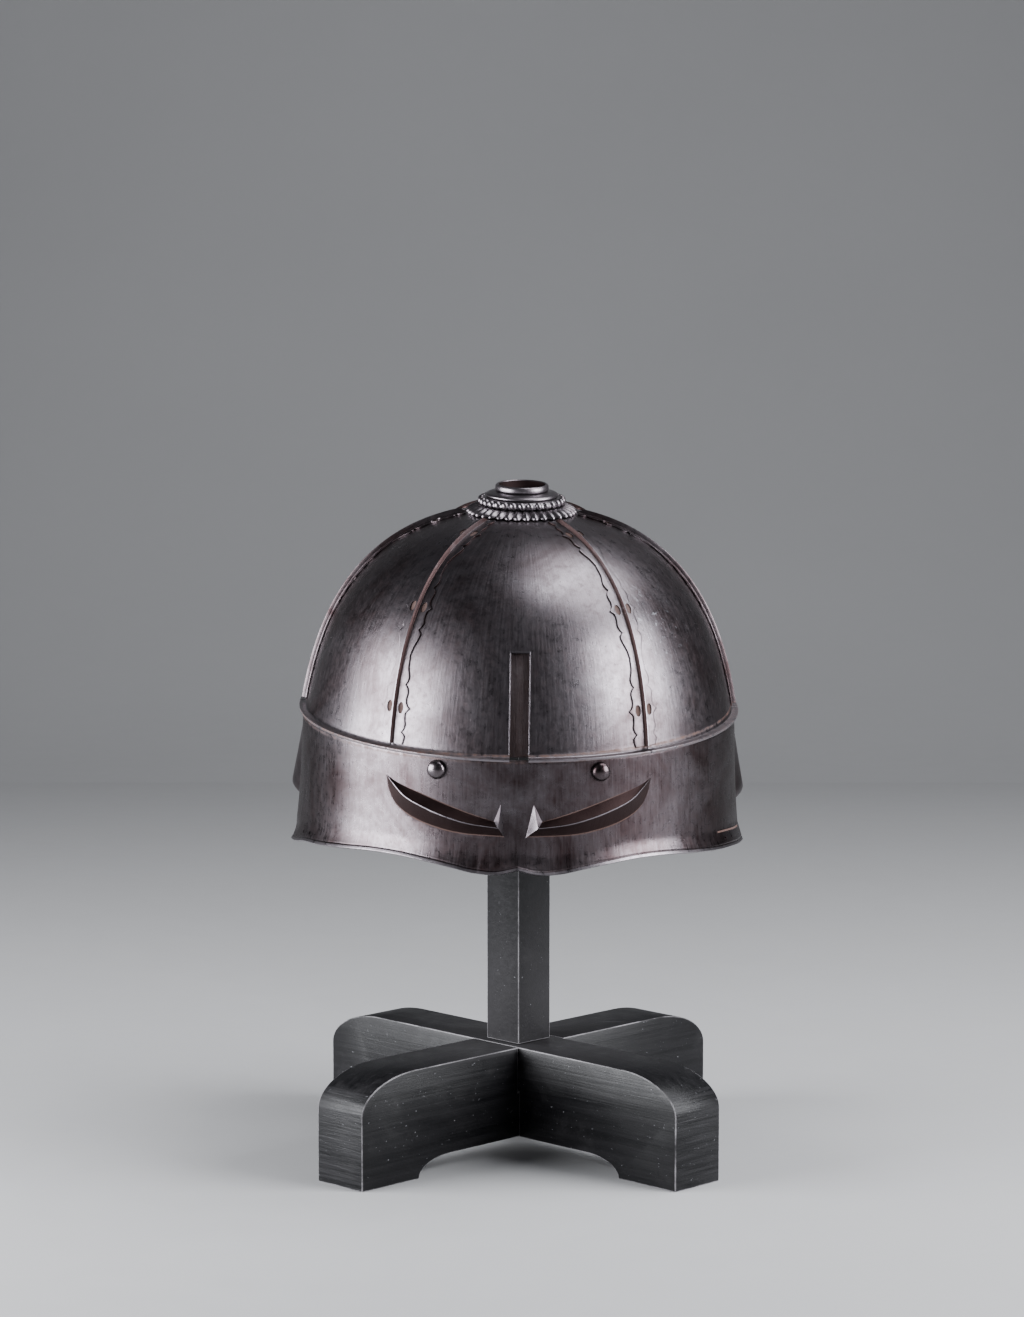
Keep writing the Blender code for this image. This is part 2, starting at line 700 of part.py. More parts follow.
# Post: square shaft, widening to a domed head that follows the bowl's inside under the crown
helmet_to_stand = Matrix.Translation((CROWN_SEAT_X, 0, CROWN_SEAT_HEIGHT))
helmet_to_stand = helmet_to_stand @ Matrix.Rotation(HELMET_ROLL, 4, "Y") @ Matrix.Rotation(HELMET_TILT, 4, "X")
helmet_to_stand = helmet_to_stand @ Matrix.Translation((0, 0, -CROWN_SEAT_IN_HELMET))


def square_ring(z):
    """Points round a square turned 45 degrees, so that an edge faces the front."""
    half_diagonal = POST_WIDTH / math.sqrt(2)
    ring = []
    for side in range(HEAD_SIDES):
        turn = math.tau * side / HEAD_SIDES
        reach = half_diagonal / (abs(math.sin(turn)) + abs(math.cos(turn)))
        ring.append(Vector((reach * math.cos(turn), reach * math.sin(turn), z)))
    return ring


def head_ring(reach_share, out):
    ring = []
    for side in range(HEAD_SIDES):
        turn = math.tau * side / HEAD_SIDES
        x = HEAD_RADIUS * reach_share * math.cos(turn)
        y = HEAD_RADIUS * reach_share * math.sin(turn)
        z = bowl_height_at(x, y) - PLATE_THICKNESS - 1.5 * GAP - out
        ring.append(helmet_to_stand @ Vector((x, y, z)))
    return ring


post_low = BAR_HEIGHT + GAP
post_high = CROWN_SEAT_HEIGHT - HEAD_EDGE - HEAD_TAPER_HEIGHT
rings = [square_ring(post_low), square_ring(post_high), head_ring(1.0, HEAD_EDGE), head_ring(1.0, 0.6)]
rings += [head_ring(0.93, 0.0), head_ring(0.62, 0.0), head_ring(0.3, 0.0)]
points = [point for ring in rings for point in ring]
add_piece("stand_post", points, loft_faces(len(rings), HEAD_SIDES), stand_place, BLACK_WOOD, 0.0, 0.5)
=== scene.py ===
import math

import bpy
from mathutils import Matrix, Vector


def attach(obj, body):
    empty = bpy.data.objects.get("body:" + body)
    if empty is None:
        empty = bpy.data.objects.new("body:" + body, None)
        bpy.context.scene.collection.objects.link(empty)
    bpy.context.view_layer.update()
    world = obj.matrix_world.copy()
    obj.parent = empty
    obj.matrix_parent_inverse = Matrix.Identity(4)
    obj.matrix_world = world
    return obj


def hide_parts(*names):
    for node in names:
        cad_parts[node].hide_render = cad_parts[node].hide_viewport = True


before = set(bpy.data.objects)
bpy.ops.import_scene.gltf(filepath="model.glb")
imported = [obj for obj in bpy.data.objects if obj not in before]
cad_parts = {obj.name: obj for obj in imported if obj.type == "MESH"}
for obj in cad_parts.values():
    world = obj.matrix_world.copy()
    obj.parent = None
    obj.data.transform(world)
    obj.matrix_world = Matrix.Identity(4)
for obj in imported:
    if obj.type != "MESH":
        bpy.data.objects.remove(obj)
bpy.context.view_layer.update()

mm = 0.001

# Stand bars. Two planed bars of softwood, half-lapped into a cross, sawn to rounded shoulders
# and arched feet, and painted satin black. The paint is worn to grey along the edges.
stand_middle = Vector((0.4 * mm, -14.6 * mm, 0.0))
bar_half_length = 128.0 * mm
bar_width = 33.0 * mm
bar_height = 57.0 * mm
foot_length = 39.5 * mm
arch_height = 9.5 * mm
arch_run = 22.0 * mm
foot_arch_steps = 16
shoulder_run = 38.0 * mm
shoulder_drop = 19.0 * mm
shoulder_steps = 24
fitting_gap = 0.3 * mm
rubbed_finish, sawn_finish = 1, 2


def let_go():
    """Leave edit mode with nothing selected, so the next tool acts on its own piece alone."""
    if bpy.context.mode != "OBJECT":
        bpy.ops.object.mode_set(mode="OBJECT")
    bpy.ops.object.select_all(action="DESELECT")


def take(piece):
    """Select one piece and make it active."""
    let_go()
    piece.select_set(True)
    bpy.context.view_layer.objects.active = piece
    return piece


def edit(piece):
    """Open one piece in edit mode with all of it selected."""
    take(piece)
    bpy.ops.object.mode_set(mode="EDIT")
    bpy.ops.mesh.select_all(action="SELECT")


def cut_board(name, outline, thickness):
    """A disc with a corner for each point, pulled to the outline and extruded upward."""
    let_go()
    bpy.ops.mesh.primitive_circle_add(vertices=len(outline), radius=1.0, fill_type="NGON")
    board = bpy.context.active_object
    board.name = name
    for corner, (x, y) in zip(board.data.vertices, outline):
        corner.co = (x, y, 0.0)
    edit(board)
    bpy.ops.mesh.extrude_region_move(TRANSFORM_OT_translate={"value": (0, 0, thickness)})
    bpy.ops.mesh.select_all(action="SELECT")
    bpy.ops.mesh.normals_make_consistent(inside=False)
    let_go()
    return board


def settle(piece, matrix=None):
    """Put a piece in its place and keep that place in its mesh."""
    take(piece)
    if matrix is not None:
        piece.matrix_world = matrix
    bpy.ops.object.transform_apply(location=True, rotation=True, scale=True)
    let_go()


def finish_modifiers(piece):
    """Apply a piece's modifiers in their order."""
    take(piece)
    for modifier in list(piece.modifiers):
        bpy.ops.object.modifier_apply(modifier=modifier.name)
    let_go()


def paint_faces(piece, finish, chosen):
    """Give a finish to the faces that are chosen by centre and direction."""
    for face in piece.data.polygons:
        if chosen(face.center, face.normal):
            face.material_index = finish


def round_edges(piece, width, angle, finish=-1):
    """Ease the edges sharper than an angle. The eased strips may take a finish of their own."""
    bevel = piece.modifiers.new("eased", "BEVEL")
    bevel.width = width
    bevel.segments = 2
    bevel.limit_method = "ANGLE"
    bevel.angle_limit = math.radians(angle)
    bevel.material = finish
    finish_modifiers(piece)


def smooth(piece, angle=40.0):
    """Shade a piece smooth, except over edges sharper than the angle."""
    take(piece)
    bpy.ops.object.shade_smooth_by_angle(angle=math.radians(angle))
    let_go()


def give(piece, *finishes):
    """Add finishes to a piece. A face's number picks one of them, and the first is number 0."""
    for finish in finishes:
        piece.data.materials.append(finish)


def put_on(piece, node):
    """Let a finished piece stand for a CAD node."""
    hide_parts(node)
    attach(piece, "root")


def node(material, kind, settings=None, **wires):
    """A shader node with its settings, and its inputs given as values or as wires."""
    made = material.node_tree.nodes.new(kind)
    for name, value in (settings or {}).items():
        setattr(made, name, value)
    for name, value in wires.items():
        label = name.replace("_", " ")
        socket = made.inputs[int(name[1:])] if name[1:].isdigit() else made.inputs[label]
        if isinstance(value, bpy.types.NodeSocket):
            material.node_tree.links.new(value, socket)
        else:
            socket.default_value = value
    return made


def new_finish(name, metallic):
    """A new material with the plain shader."""
    material = bpy.data.materials.new(name)
    material.use_nodes = True
    material.node_tree.nodes["Principled BSDF"].inputs["Metallic"].default_value = metallic
    return material


def maths(material, operation, first, second=0.0, third=0.0, clamp=False):
    """One step of arithmetic on values or wires."""
    settings = {"operation": operation, "use_clamp": clamp}
    return node(material, "ShaderNodeMath", settings, _0=first, _1=second, _2=third).outputs[0]


def spread(material, value, low, high, to_low=0.0, to_high=1.0):
    """Stretch a value between two limits to another pair of limits."""
    wires = {"Value": value, "From_Min": low, "From_Max": high, "To_Min": to_low, "To_Max": to_high}
    return node(material, "ShaderNodeMapRange", None, **wires).outputs[0]


def cloud(material, vector, scale, detail=4.0, roughness=0.55, distortion=0.0):
    """Cloudy noise, from 0 to 1."""
    wires = {"Vector": vector, "Scale": scale, "Detail": detail, "Roughness": roughness,
             "Distortion": distortion}
    return node(material, "ShaderNodeTexNoise", None, **wires).outputs["Fac"]


def blend_colours(material, share, first, second):
    """Mix two colours by a share, from 0 for the first to 1 for the second."""
    made = node(material, "ShaderNodeMix", {"data_type": "RGBA"})
    for socket, value in ((made.inputs[0], share), (made.inputs[6], first), (made.inputs[7], second)):
        if isinstance(value, bpy.types.NodeSocket):
            material.node_tree.links.new(value, socket)
        else:
            socket.default_value = value
    return made.outputs[2]


def wire(material, colour, roughness, height=None, depth=0.0):
    """Join the colour, roughness and relief to the shader."""
    shader = material.node_tree.nodes["Principled BSDF"]
    material.node_tree.links.new(colour, shader.inputs["Base Color"])
    material.node_tree.links.new(roughness, shader.inputs["Roughness"])
    if height is not None:
        bump = node(material, "ShaderNodeBump", None, Height=height, Distance=depth, Strength=1.0)
        material.node_tree.links.new(bump.outputs["Normal"], shader.inputs["Normal"])


def black_paint(name, turn, worn=False, sawn=False):
    """Black paint over the grain along a bar, over saw marks on an end, or worn to grey on an edge."""
    paint = new_finish(name, 0.0)
    paint.node_tree.nodes["Principled BSDF"].inputs["Specular IOR Level"].default_value = 0.22
    dark = (0.0020, 0.0020, 0.0026, 1)
    grey = (0.018, 0.0175, 0.019, 1) if sawn else (0.0075, 0.0072, 0.0082, 1)
    rubbed_and_sheen = (0.22, 0.21, 0.22, 1) if worn else (0.040, 0.038, 0.040, 1)
    scratched = (0.26, 0.26, 0.28, 1)
    rub_limits = (0.42, 0.62, 0.10, 1.0) if worn else (0.55, 0.76, 0.0, 0.30)
    relief_depth = (0.20 if sawn else 0.10) * mm

    place = node(paint, "ShaderNodeTexCoord").outputs["Object"]
    along = node(paint, "ShaderNodeMapping", None, Vector=place, Rotation=(0, 0, turn)).outputs[0]
    grain_scale = (30.0, 24.0, 620.0) if sawn else (9.0, 360.0, 360.0)
    grain_turn = (math.radians(14.0) if sawn else 0.0, 0.0, 0.0)
    grain_place = node(paint, "ShaderNodeMapping", None, Vector=along, Rotation=grain_turn,
                       Scale=grain_scale).outputs[0]
    grain = cloud(paint, grain_place, scale=1.0, detail=6.0, roughness=0.65, distortion=0.3)
    rubs = cloud(paint, place, scale=34.0, detail=6.0, roughness=0.68, distortion=0.4)
    specks = cloud(paint, place, scale=620.0, detail=2.0)
    scratches = 0.0
    for slant, low in ((0.5, 0.73), (1.9, 0.745), (-0.7, 0.75)):
        scratch_place = node(paint, "ShaderNodeMapping", None, Vector=place, Rotation=(slant, 0.9, slant),
                             Scale=(22.0, 700.0, 700.0)).outputs[0]
        scratch = spread(paint, cloud(paint, scratch_place, scale=1.0, detail=2.0), low, low + 0.03)
        scratches = maths(paint, "MAXIMUM", scratch, scratches)

    # The top faces near the post are painted paler: dust, and a painted sheen of the light from above.
    parts = node(paint, "ShaderNodeSeparateXYZ", None, _0=place)
    from_middle = node(paint, "ShaderNodeVectorMath", {"operation": "DISTANCE"}, _0=place,
                       _1=stand_middle + Vector((0, 0, bar_height))).outputs["Value"]
    top_dust_and_sheen = maths(paint, "MULTIPLY", spread(paint, from_middle, 0.090, 0.030, 0.0, 0.45),
                    spread(paint, parts.outputs[2], bar_height - 3 * mm, bar_height - 1 * mm))
    pale = maths(paint, "ADD", spread(paint, rubs, *rub_limits), top_dust_and_sheen, clamp=True)

    coat = blend_colours(paint, spread(paint, grain, 0.38, 0.68), dark, grey)
    colour = blend_colours(paint, pale, coat, rubbed_and_sheen)
    colour = blend_colours(paint, maths(paint, "MULTIPLY", scratches, 0.5), colour, scratched)
    roughness = maths(paint, "MULTIPLY_ADD", grain, 0.16, spread(paint, rubs, 0.3, 0.75, 0.24, 0.46))
    height = maths(paint, "MULTIPLY_ADD", specks, 0.30, maths(paint, "MULTIPLY", grain, 1.6))
    wire(paint, colour, roughness, height, relief_depth)
    return paint


shoulder = []
for step in range(shoulder_steps + 1):
    turn = math.pi / 2 * step / shoulder_steps
    shoulder.append((bar_half_length - shoulder_run + shoulder_run * math.sin(turn),
                     bar_height - shoulder_drop + shoulder_drop * math.cos(turn)))
arch = []
for step in range(foot_arch_steps + 1):
    turn = math.pi / 2 * step / foot_arch_steps
    arch_reach = bar_half_length - foot_length - arch_run * (1 - math.cos(turn))
    arch.append((arch_reach, arch_height * math.sin(turn)))

for name, turn, lapped_over in (("stand_bar_lower", math.radians(45.0), True),
                                ("stand_bar_upper", math.radians(-45.0), False)):
    lap = (bar_height + arch_height) / 2
    notch = bar_width / 2 + fitting_gap
    half = list(reversed(arch)) + [(bar_half_length, 0.0)] + list(reversed(shoulder))
    if lapped_over:
        half = half + [(notch, bar_height), (notch, lap - fitting_gap / 2)]
    else:
        half = [(notch, lap + fitting_gap / 2), (notch, arch_height)] + half
    outline = half + [(-along, high) for along, high in reversed(half)]
    bar = cut_board(name + "_board", outline, bar_width)
    stand_up = Matrix.Rotation(math.pi / 2, 4, "X") @ Matrix.Translation((0, 0, -bar_width / 2))
    settle(bar, Matrix.Translation(stand_middle) @ Matrix.Rotation(turn, 4, "Z") @ stand_up)
    give(bar, black_paint(name + "_paint", -turn), black_paint(name + "_worn_paint", -turn, worn=True),
         black_paint(name + "_sawn_paint", -turn, sawn=True))
    along = Vector((math.cos(turn), math.sin(turn), 0.0))
    paint_faces(bar, sawn_finish, lambda centre, normal: abs(normal.dot(along)) > 0.6 and
                abs((centre - stand_middle).dot(along)) > bar_half_length - shoulder_run)
    round_edges(bar, 0.5 * mm, 35.0, rubbed_finish)
    smooth(bar)
    put_on(bar, name)

# Stand post. A square stick of the same black softwood, set on edge to the front, with a plain
# domed head inside the bowl that the helmet hangs on.
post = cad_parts["stand_post"].copy()
post.data = post.data.copy()
post.name = "stand_post_shaped"
bpy.context.collection.objects.link(post)
edit(post)
bpy.ops.mesh.remove_doubles(threshold=0.01 * mm)
bpy.ops.mesh.dissolve_limited(angle_limit=math.radians(2.0))
let_go()
post.data.materials.clear()
give(post, black_paint("post_paint", 0.0), black_paint("post_worn_paint", 0.0, worn=True))
round_edges(post, 0.4 * mm, 50.0, rubbed_finish)
smooth(post)
put_on(post, "stand_post")

# Bowl plates. Six plates of russet iron, hammered to a dome, filed and brushed upward, each with
# its bottom edge turned out in a lip. They are riveted together under the seam strips.
seat = Vector((2.0 * mm, -14.6 * mm, 336.0 * mm))
tilt = math.radians(6.0)
lean = math.radians(0.8)
crown_in_helmet = 103.5 * mm
on_stand = Matrix.Translation(seat) @ Matrix.Rotation(lean, 4, "Y") @ Matrix.Rotation(tilt, 4, "X")
on_stand = on_stand @ Matrix.Translation((0, 0, -crown_in_helmet))
bowl_half_width = 111.8 * mm
bowl_half_depth = 119.0 * mm
bowl_height = 105.6 * mm
plate_thickness = 1.4 * mm
lip_out = 3.6 * mm
lip_thickness = 1.2 * mm
lip_worn_up_to = 1.35 * mm
crown_rise = 0.9486
seam_at_rim = math.radians(34.6)
seam_at_crown = math.radians(38.0)


def bowl_curve(rise):
    """Reach and height of the bowl's outline, as shares, for a rise from rim (0) to crown (1)."""
    fall = 1.0 - rise
    near_rim, near_crown = 3 * rise * fall ** 2, 3 * rise ** 2 * fall
    reach = fall ** 3 + 0.93 * near_rim + 0.745 * near_crown
    return reach, 0.45 * near_rim + near_crown + rise ** 3


def bowl_out(rise):
    """Direction straight out of the bowl's outline: its share outward and its share upward."""
    low, high = bowl_curve(max(0.0, rise - 0.001)), bowl_curve(min(1.0, rise + 0.001))
    radius = (bowl_half_width + bowl_half_depth) / 2
    along = Vector(((high[0] - low[0]) * radius, (high[1] - low[1]) * bowl_height)).normalized()
    return along.y, -along.x


def on_bowl(angle, rise, out):
    """Point on the bowl at an angle from the front, standing out from the plate's face."""
    reach, height = bowl_curve(rise)
    outward, upward = bowl_out(rise)
    x = (bowl_half_width * reach + out * outward) * math.sin(angle)
    y = -(bowl_half_depth * reach + out * outward) * math.cos(angle)
    return Vector((x, y, bowl_height * height + out * upward))


def draw_chain(name, points):
    """One point pulled along a line of points, as by extruding it again and again."""
    let_go()
    bpy.ops.mesh.primitive_plane_add(size=1 * mm, location=points[0])
    chain = bpy.context.active_object
    chain.name = name
    edit(chain)
    bpy.ops.mesh.merge(type="CENTER")
    for before, after in zip(points, points[1:]):
        step = Vector(after) - Vector(before)
        bpy.ops.mesh.extrude_region_move(TRANSFORM_OT_translate={"value": step})
    settle(chain)
    return chain


def close_up(threshold):
    """Merge the doubles of the piece in edit mode, turn its faces outward and leave edit mode."""
    bpy.ops.mesh.select_all(action="SELECT")
    bpy.ops.mesh.remove_doubles(threshold=threshold)
    bpy.ops.mesh.normals_make_consistent(inside=False)
    let_go()


def spin_round(piece, steps):
    """Spin a drawn outline once round the upright axis and close it."""
    edit(piece)
    bpy.ops.mesh.spin(steps=steps, angle=math.tau, center=(0, 0, 0), axis=(0, 0, 1))
    close_up(0.02 * mm)


def thicken(piece, thickness, offset=-1.0, even=False):
    """Give a sheet its wall: behind the sheet at an offset of -1, and half to each side at 0."""
    wall = piece.modifiers.new("wall", "SOLIDIFY")
    wall.thickness = thickness
    wall.offset = offset
    wall.use_even_offset = even
    finish_modifiers(piece)


fleck_middle = on_stand @ on_bowl(math.radians(50.0), 0.42, 0.0)


def russet_iron(name, bright=0.0, rust=0.0, rough=0.31, grit=1.0, dark=0.0):
    """Brown-black iron: brushed upward, clouded, pitted, with rust where the plates meet."""
    iron = new_finish(name, 1.0)
    russet = (0.034, 0.020, 0.021, 1)
    steel = (0.190, 0.172, 0.187, 1)
    stain = (0.056, 0.036, 0.036, 1)
    rust_brown = (0.082, 0.038, 0.025, 1)
    pit = (0.03, 0.024, 0.022, 1)
    fleck = (0.42, 0.43, 0.47, 1)
    near_black = (0.008, 0.005, 0.005, 1)

    # Brush strokes run up the bowl, so they are drawn on its angle and height, seen upright.
    place = node(iron, "ShaderNodeTexCoord").outputs["Object"]
    moved = node(iron, "ShaderNodeVectorMath", {"operation": "SUBTRACT"}, _0=place, _1=seat).outputs[0]
    upright = node(iron, "ShaderNodeVectorRotate", {"rotation_type": "X_AXIS"}, Vector=moved, Angle=-tilt)
    parts = node(iron, "ShaderNodeSeparateXYZ", None, _0=upright.outputs[0])
    frontward = maths(iron, "MULTIPLY", parts.outputs[1], -1.0)
    round_angle = maths(iron, "ARCTAN2", parts.outputs[0], frontward)
    strokes_round = maths(iron, "MULTIPLY", round_angle, 95.0)
    strokes_up = maths(iron, "MULTIPLY", parts.outputs[2], 55.0)
    strokes_place = node(iron, "ShaderNodeCombineXYZ", None, _0=strokes_round, _1=strokes_up).outputs[0]
    strokes = cloud(iron, strokes_place, scale=1.0, detail=6.0, roughness=0.68, distortion=0.15)
    clouds = cloud(iron, place, scale=17.0, detail=6.0, roughness=0.66, distortion=0.8)
    mottle = cloud(iron, place, scale=260.0, detail=6.0, roughness=0.72)
    pits = spread(iron, cloud(iron, place, scale=900.0, detail=3.0, roughness=0.6), 0.25, 0.34)

    # The share of bare steel is higher at the front than at the sides.
    share = maths(iron, "MULTIPLY_ADD", clouds, 2.3, -0.82)
    share = maths(iron, "MULTIPLY_ADD", strokes, 0.6, share)
    aside = spread(iron, maths(iron, "ABSOLUTE", round_angle), 0.75, 1.35, 0.0, -0.35)
    share = maths(iron, "ADD", share, aside)
    share = maths(iron, "ADD", share, bright, clamp=True)
    colour = blend_colours(iron, share, russet, steel)
    stains = spread(iron, mottle, 0.50, 0.70, 0.0, 0.45)
    colour = blend_colours(iron, stains, colour, stain)

    # Rust gathers in the crease over the rim's lip, and in the joint under it.
    above_rim = maths(iron, "ADD", parts.outputs[2], crown_in_helmet)
    crease = maths(iron, "ABSOLUTE", maths(iron, "SUBTRACT", above_rim, 1.9 * mm))
    under = maths(iron, "ABSOLUTE", maths(iron, "ADD", above_rim, 0.8 * mm))
    rim_near = maths(iron, "MAXIMUM", spread(iron, crease, 0.9 * mm, 0.2 * mm, 0.0, 0.9),
                     spread(iron, under, 1.1 * mm, 0.3 * mm, 0.0, 0.5))
    rusting = maths(iron, "MULTIPLY", rim_near, spread(iron, mottle, 0.35, 0.62), clamp=True)
    rusting = maths(iron, "MAXIMUM", rusting, rust)
    colour = blend_colours(iron, rusting, colour, rust_brown)
    colour = blend_colours(iron, pits, pit, colour)

    # A patch of pale flecks lies at the front right.
    fleck_place = node(iron, "ShaderNodeMapping", None, Vector=place, Rotation=(0.3, 0.7, 0.4),
                       Scale=(150.0, 380.0, 380.0)).outputs[0]
    fleck_noise = cloud(iron, fleck_place, scale=1.0, detail=4.0, roughness=0.7)
    fleck_near = node(iron, "ShaderNodeVectorMath", {"operation": "DISTANCE"}, _0=place, _1=fleck_middle)
    flecks = maths(iron, "MULTIPLY", spread(iron, fleck_noise, 0.58, 0.66),
                   spread(iron, fleck_near.outputs["Value"], 28 * mm, 4 * mm, 0.0, 0.65), clamp=True)
    colour = blend_colours(iron, flecks, colour, fleck)
    # The dark share paints the colour towards near black; the bore and the seam strips' walls use it as
    # painted shade.
    colour = blend_colours(iron, dark, colour, near_black)

    metal = maths(iron, "MULTIPLY_ADD", rusting, -0.8, 1.0, clamp=True)
    iron.node_tree.links.new(metal, iron.node_tree.nodes["Principled BSDF"].inputs["Metallic"])
    roughness = spread(iron, mottle, 0.3, 0.7, rough - 0.08, rough + 0.06)
    roughness = maths(iron, "MULTIPLY_ADD", strokes, 0.18, roughness)
    roughness = maths(iron, "MULTIPLY_ADD", clouds, -0.12, roughness)
    roughness = maths(iron, "MULTIPLY_ADD", rusting, 0.28, roughness, clamp=True)
    height = maths(iron, "MULTIPLY_ADD", strokes, 1.1, mottle)
    height = maths(iron, "MULTIPLY_ADD", pits, 0.5, height)
    wire(iron, colour, roughness, height, 0.05 * mm * grit)
    return iron


plate_iron = russet_iron("plate_iron")
# Bright bare iron for worn edges and lips, and for painted highlights on ridges, raised lines and the visor's
# lower edge.
worn_and_highlight_iron = russet_iron("worn_and_highlight_iron", bright=0.9, rough=0.30, grit=0.6)

# The numbers of the finishes on plates, strips, visor and neck band.
plain_finish, worn_and_highlight_finish, brown_finish, rusty_finish = range(4)

lip_profile = ((lip_out, lip_thickness - 0.2 * mm), (2.2 * mm, lip_thickness - 0.05 * mm),
               (0.6 * mm, lip_thickness), (0.1 * mm, lip_thickness + 0.25 * mm))
outline = [(bowl_half_width + out, 0, height) for out, height in lip_profile]
profile_rows = 84
profile_from = 0.022
for row in range(profile_rows + 1):
    rise = profile_from + (crown_rise - profile_from) * row / profile_rows
    reach, height = bowl_curve(rise)
    outline.append((bowl_half_width * reach, 0, bowl_height * height))
dome = draw_chain("dome", outline)
spin_round(dome, 240)
edit(dome)
bpy.ops.transform.resize(value=(1.0, bowl_half_depth / bowl_half_width, 1.0), center_override=(0, 0, 0))
let_go()

rim_point = on_bowl(seam_at_rim, 0.0, 0.0)
crown_point = on_bowl(seam_at_crown, crown_rise, 0.0)
seam_slope = (rim_point - crown_point).normalized()
seam_across = Vector((-seam_slope.y, seam_slope.x, 0.0)).normalized()
middle_point = on_bowl((seam_at_rim + seam_at_crown) / 2, 0.5, 0.0)
seam_point = crown_point + seam_across * (middle_point - crown_point).dot(seam_across) * 0.5


def copy_of(piece, name):
    """A copy of a piece with its own mesh."""
    take(piece)
    bpy.ops.object.duplicate()
    made = bpy.context.active_object
    made.name = name
    return made


def trim(piece, point, away):
    """Cut a piece by an upright plane and drop what lies on the side that away points to."""
    edit(piece)
    bpy.ops.mesh.bisect(plane_co=point, plane_no=away, clear_outer=True)
    let_go()


# A seam cut is mirrored by its first two numbers. Its third keeps the side towards the front or
# back (1), or the side towards the left or right (-1).
half_gap = fitting_gap / 2
halves = {"front": ((0, -half_gap, 0), (0, 1, 0)), "back": ((0, half_gap, 0), (0, -1, 0)),
          "right": ((0, 0, 0), (-1, 0, 0)), "left": ((0, 0, 0), (1, 0, 0))}
plates = (
    ("bowl_plate_front", ((1, 1, 1), (-1, 1, 1)), ()),
    ("bowl_plate_front_right", ((1, 1, -1),), ("front", "right")),
    ("bowl_plate_front_left", ((-1, 1, -1),), ("front", "left")),
    ("bowl_plate_back_right", ((1, -1, -1),), ("back", "right")),
    ("bowl_plate_back_left", ((-1, -1, -1),), ("back", "left")),
    ("bowl_plate_back", ((1, -1, 1), (-1, -1, 1)), ()),
)
bowl_pieces = {}
for name, seam_cuts, own_halves in plates:
    plate = copy_of(dome, name + "_hammered")
    for mirror_x, mirror_y, keep_middle in seam_cuts:
        flip = Vector((mirror_x, mirror_y, 1))
        away = seam_across * flip * keep_middle
        trim(plate, seam_point * flip - away * fitting_gap / 2, away)
    for own_half in own_halves:
        trim(plate, *halves[own_half])
    thicken(plate, plate_thickness, even=True)
    give(plate, plate_iron, worn_and_highlight_iron)
    round_edges(plate, 0.25 * mm, 60.0, worn_and_highlight_finish)
    paint_faces(plate, worn_and_highlight_finish, lambda centre, normal: centre.z < lip_worn_up_to)
    bowl_pieces[name] = plate
bpy.data.objects.remove(dome, do_unlink=True)

# Crest slot. A channel filed through the lower half of the front plate for a crest holder, with a
# raised line round its edge, and a brown strip of rough iron behind it.
slot_width = 9.4 * mm
slot_top = 50.6 * mm
slot_floor_from = 0.8 * mm
slot_floor_to = 55.0 * mm
slot_floor_half_width = 7.5 * mm
slot_floor_thickness = 1.0 * mm


def join_solid(piece, other, operation):
    """Cut or join another solid into a piece, and clear the other away."""
    take(piece)
    made = piece.modifiers.new("made_one", "BOOLEAN")
    made.operation = operation
    made.solver = "EXACT"
    made.object = other
    finish_modifiers(piece)
    bpy.data.objects.remove(other, do_unlink=True)


let_go()
bpy.ops.mesh.primitive_cube_add(size=1.0, location=(0, -90 * mm, slot_top / 2 - 3 * mm))
cutter = bpy.context.active_object
cutter.scale = (slot_width, 80 * mm, slot_top + 6 * mm)
settle(cutter)
front_plate = bowl_pieces["bowl_plate_front"]
join_solid(front_plate, cutter, "DIFFERENCE")

arc_steps = 400
arcs = [0.0]
for step in range(arc_steps):
    here, after = bowl_curve(step / arc_steps), bowl_curve((step + 1) / arc_steps)
    run = (here[0] - after[0]) * (bowl_half_width + bowl_half_depth) / 2
    arcs.append(arcs[-1] + math.hypot(run, (after[1] - here[1]) * bowl_height))


def last_step(passes):
    """Last step up the outline that passes a test, found by halving."""
    low, high = 0, arc_steps
    while high - low > 1:
        middle = (low + high) // 2
        if passes(middle):
            low = middle
        else:
            high = middle
    return low


def rise_at(arc):
    """Rise of the point that lies this far up the bowl's outline."""
    low = last_step(lambda step: arcs[step] <= arc)
    return (low + (arc - arcs[low]) / (arcs[low + 1] - arcs[low])) / arc_steps


def arc_at(rise):
    """Distance up the bowl's outline for a rise."""
    return arcs[round(rise * arc_steps)]


def arc_at_height(height):
    """Distance up the bowl's outline at which it has this height."""
    return next(arcs[step] for step in range(arc_steps)
                if bowl_curve(step / arc_steps)[1] * bowl_height >= height)


def seam_angle(seam, rise):
    """Angle of a seam from the front, at a rise."""
    front = seam_at_rim + (seam_at_crown - seam_at_rim) * rise
    return {"front": 0.0, "front_right": front, "right": math.pi / 2, "back_right": math.pi - front,
            "back_left": math.pi + front, "left": math.pi * 1.5, "front_left": math.tau - front}[seam]


def lay_on_bowl(piece, seam):
    """Bend a flat piece over a seam: x runs across it, y up the bowl and z out of the plate."""
    for vertex in piece.data.vertices:
        rise = rise_at(max(0.0, vertex.co.y))
        angle = seam_angle(seam, rise)
        reach = bowl_curve(rise)[0]
        radius = reach * math.hypot(bowl_half_width * math.cos(angle), bowl_half_depth * math.sin(angle))
        vertex.co = on_bowl(angle + vertex.co.x / radius, rise, vertex.co.z)


def flat_sheet(name, middle, half_width, low, high, rows, columns):
    """A flat strip about a middle line, with its rows from low to high up the bowl's outline."""
    let_go()
    bpy.ops.mesh.primitive_grid_add(x_subdivisions=columns, y_subdivisions=rows, size=1.0)
    sheet = bpy.context.active_object
    sheet.name = name
    for vertex in sheet.data.vertices:
        row = round((vertex.co.y + 0.5) * rows)
        vertex.co = (middle + vertex.co.x * 2 * half_width, low + (high - low) * row / rows, 0.0)
    return sheet


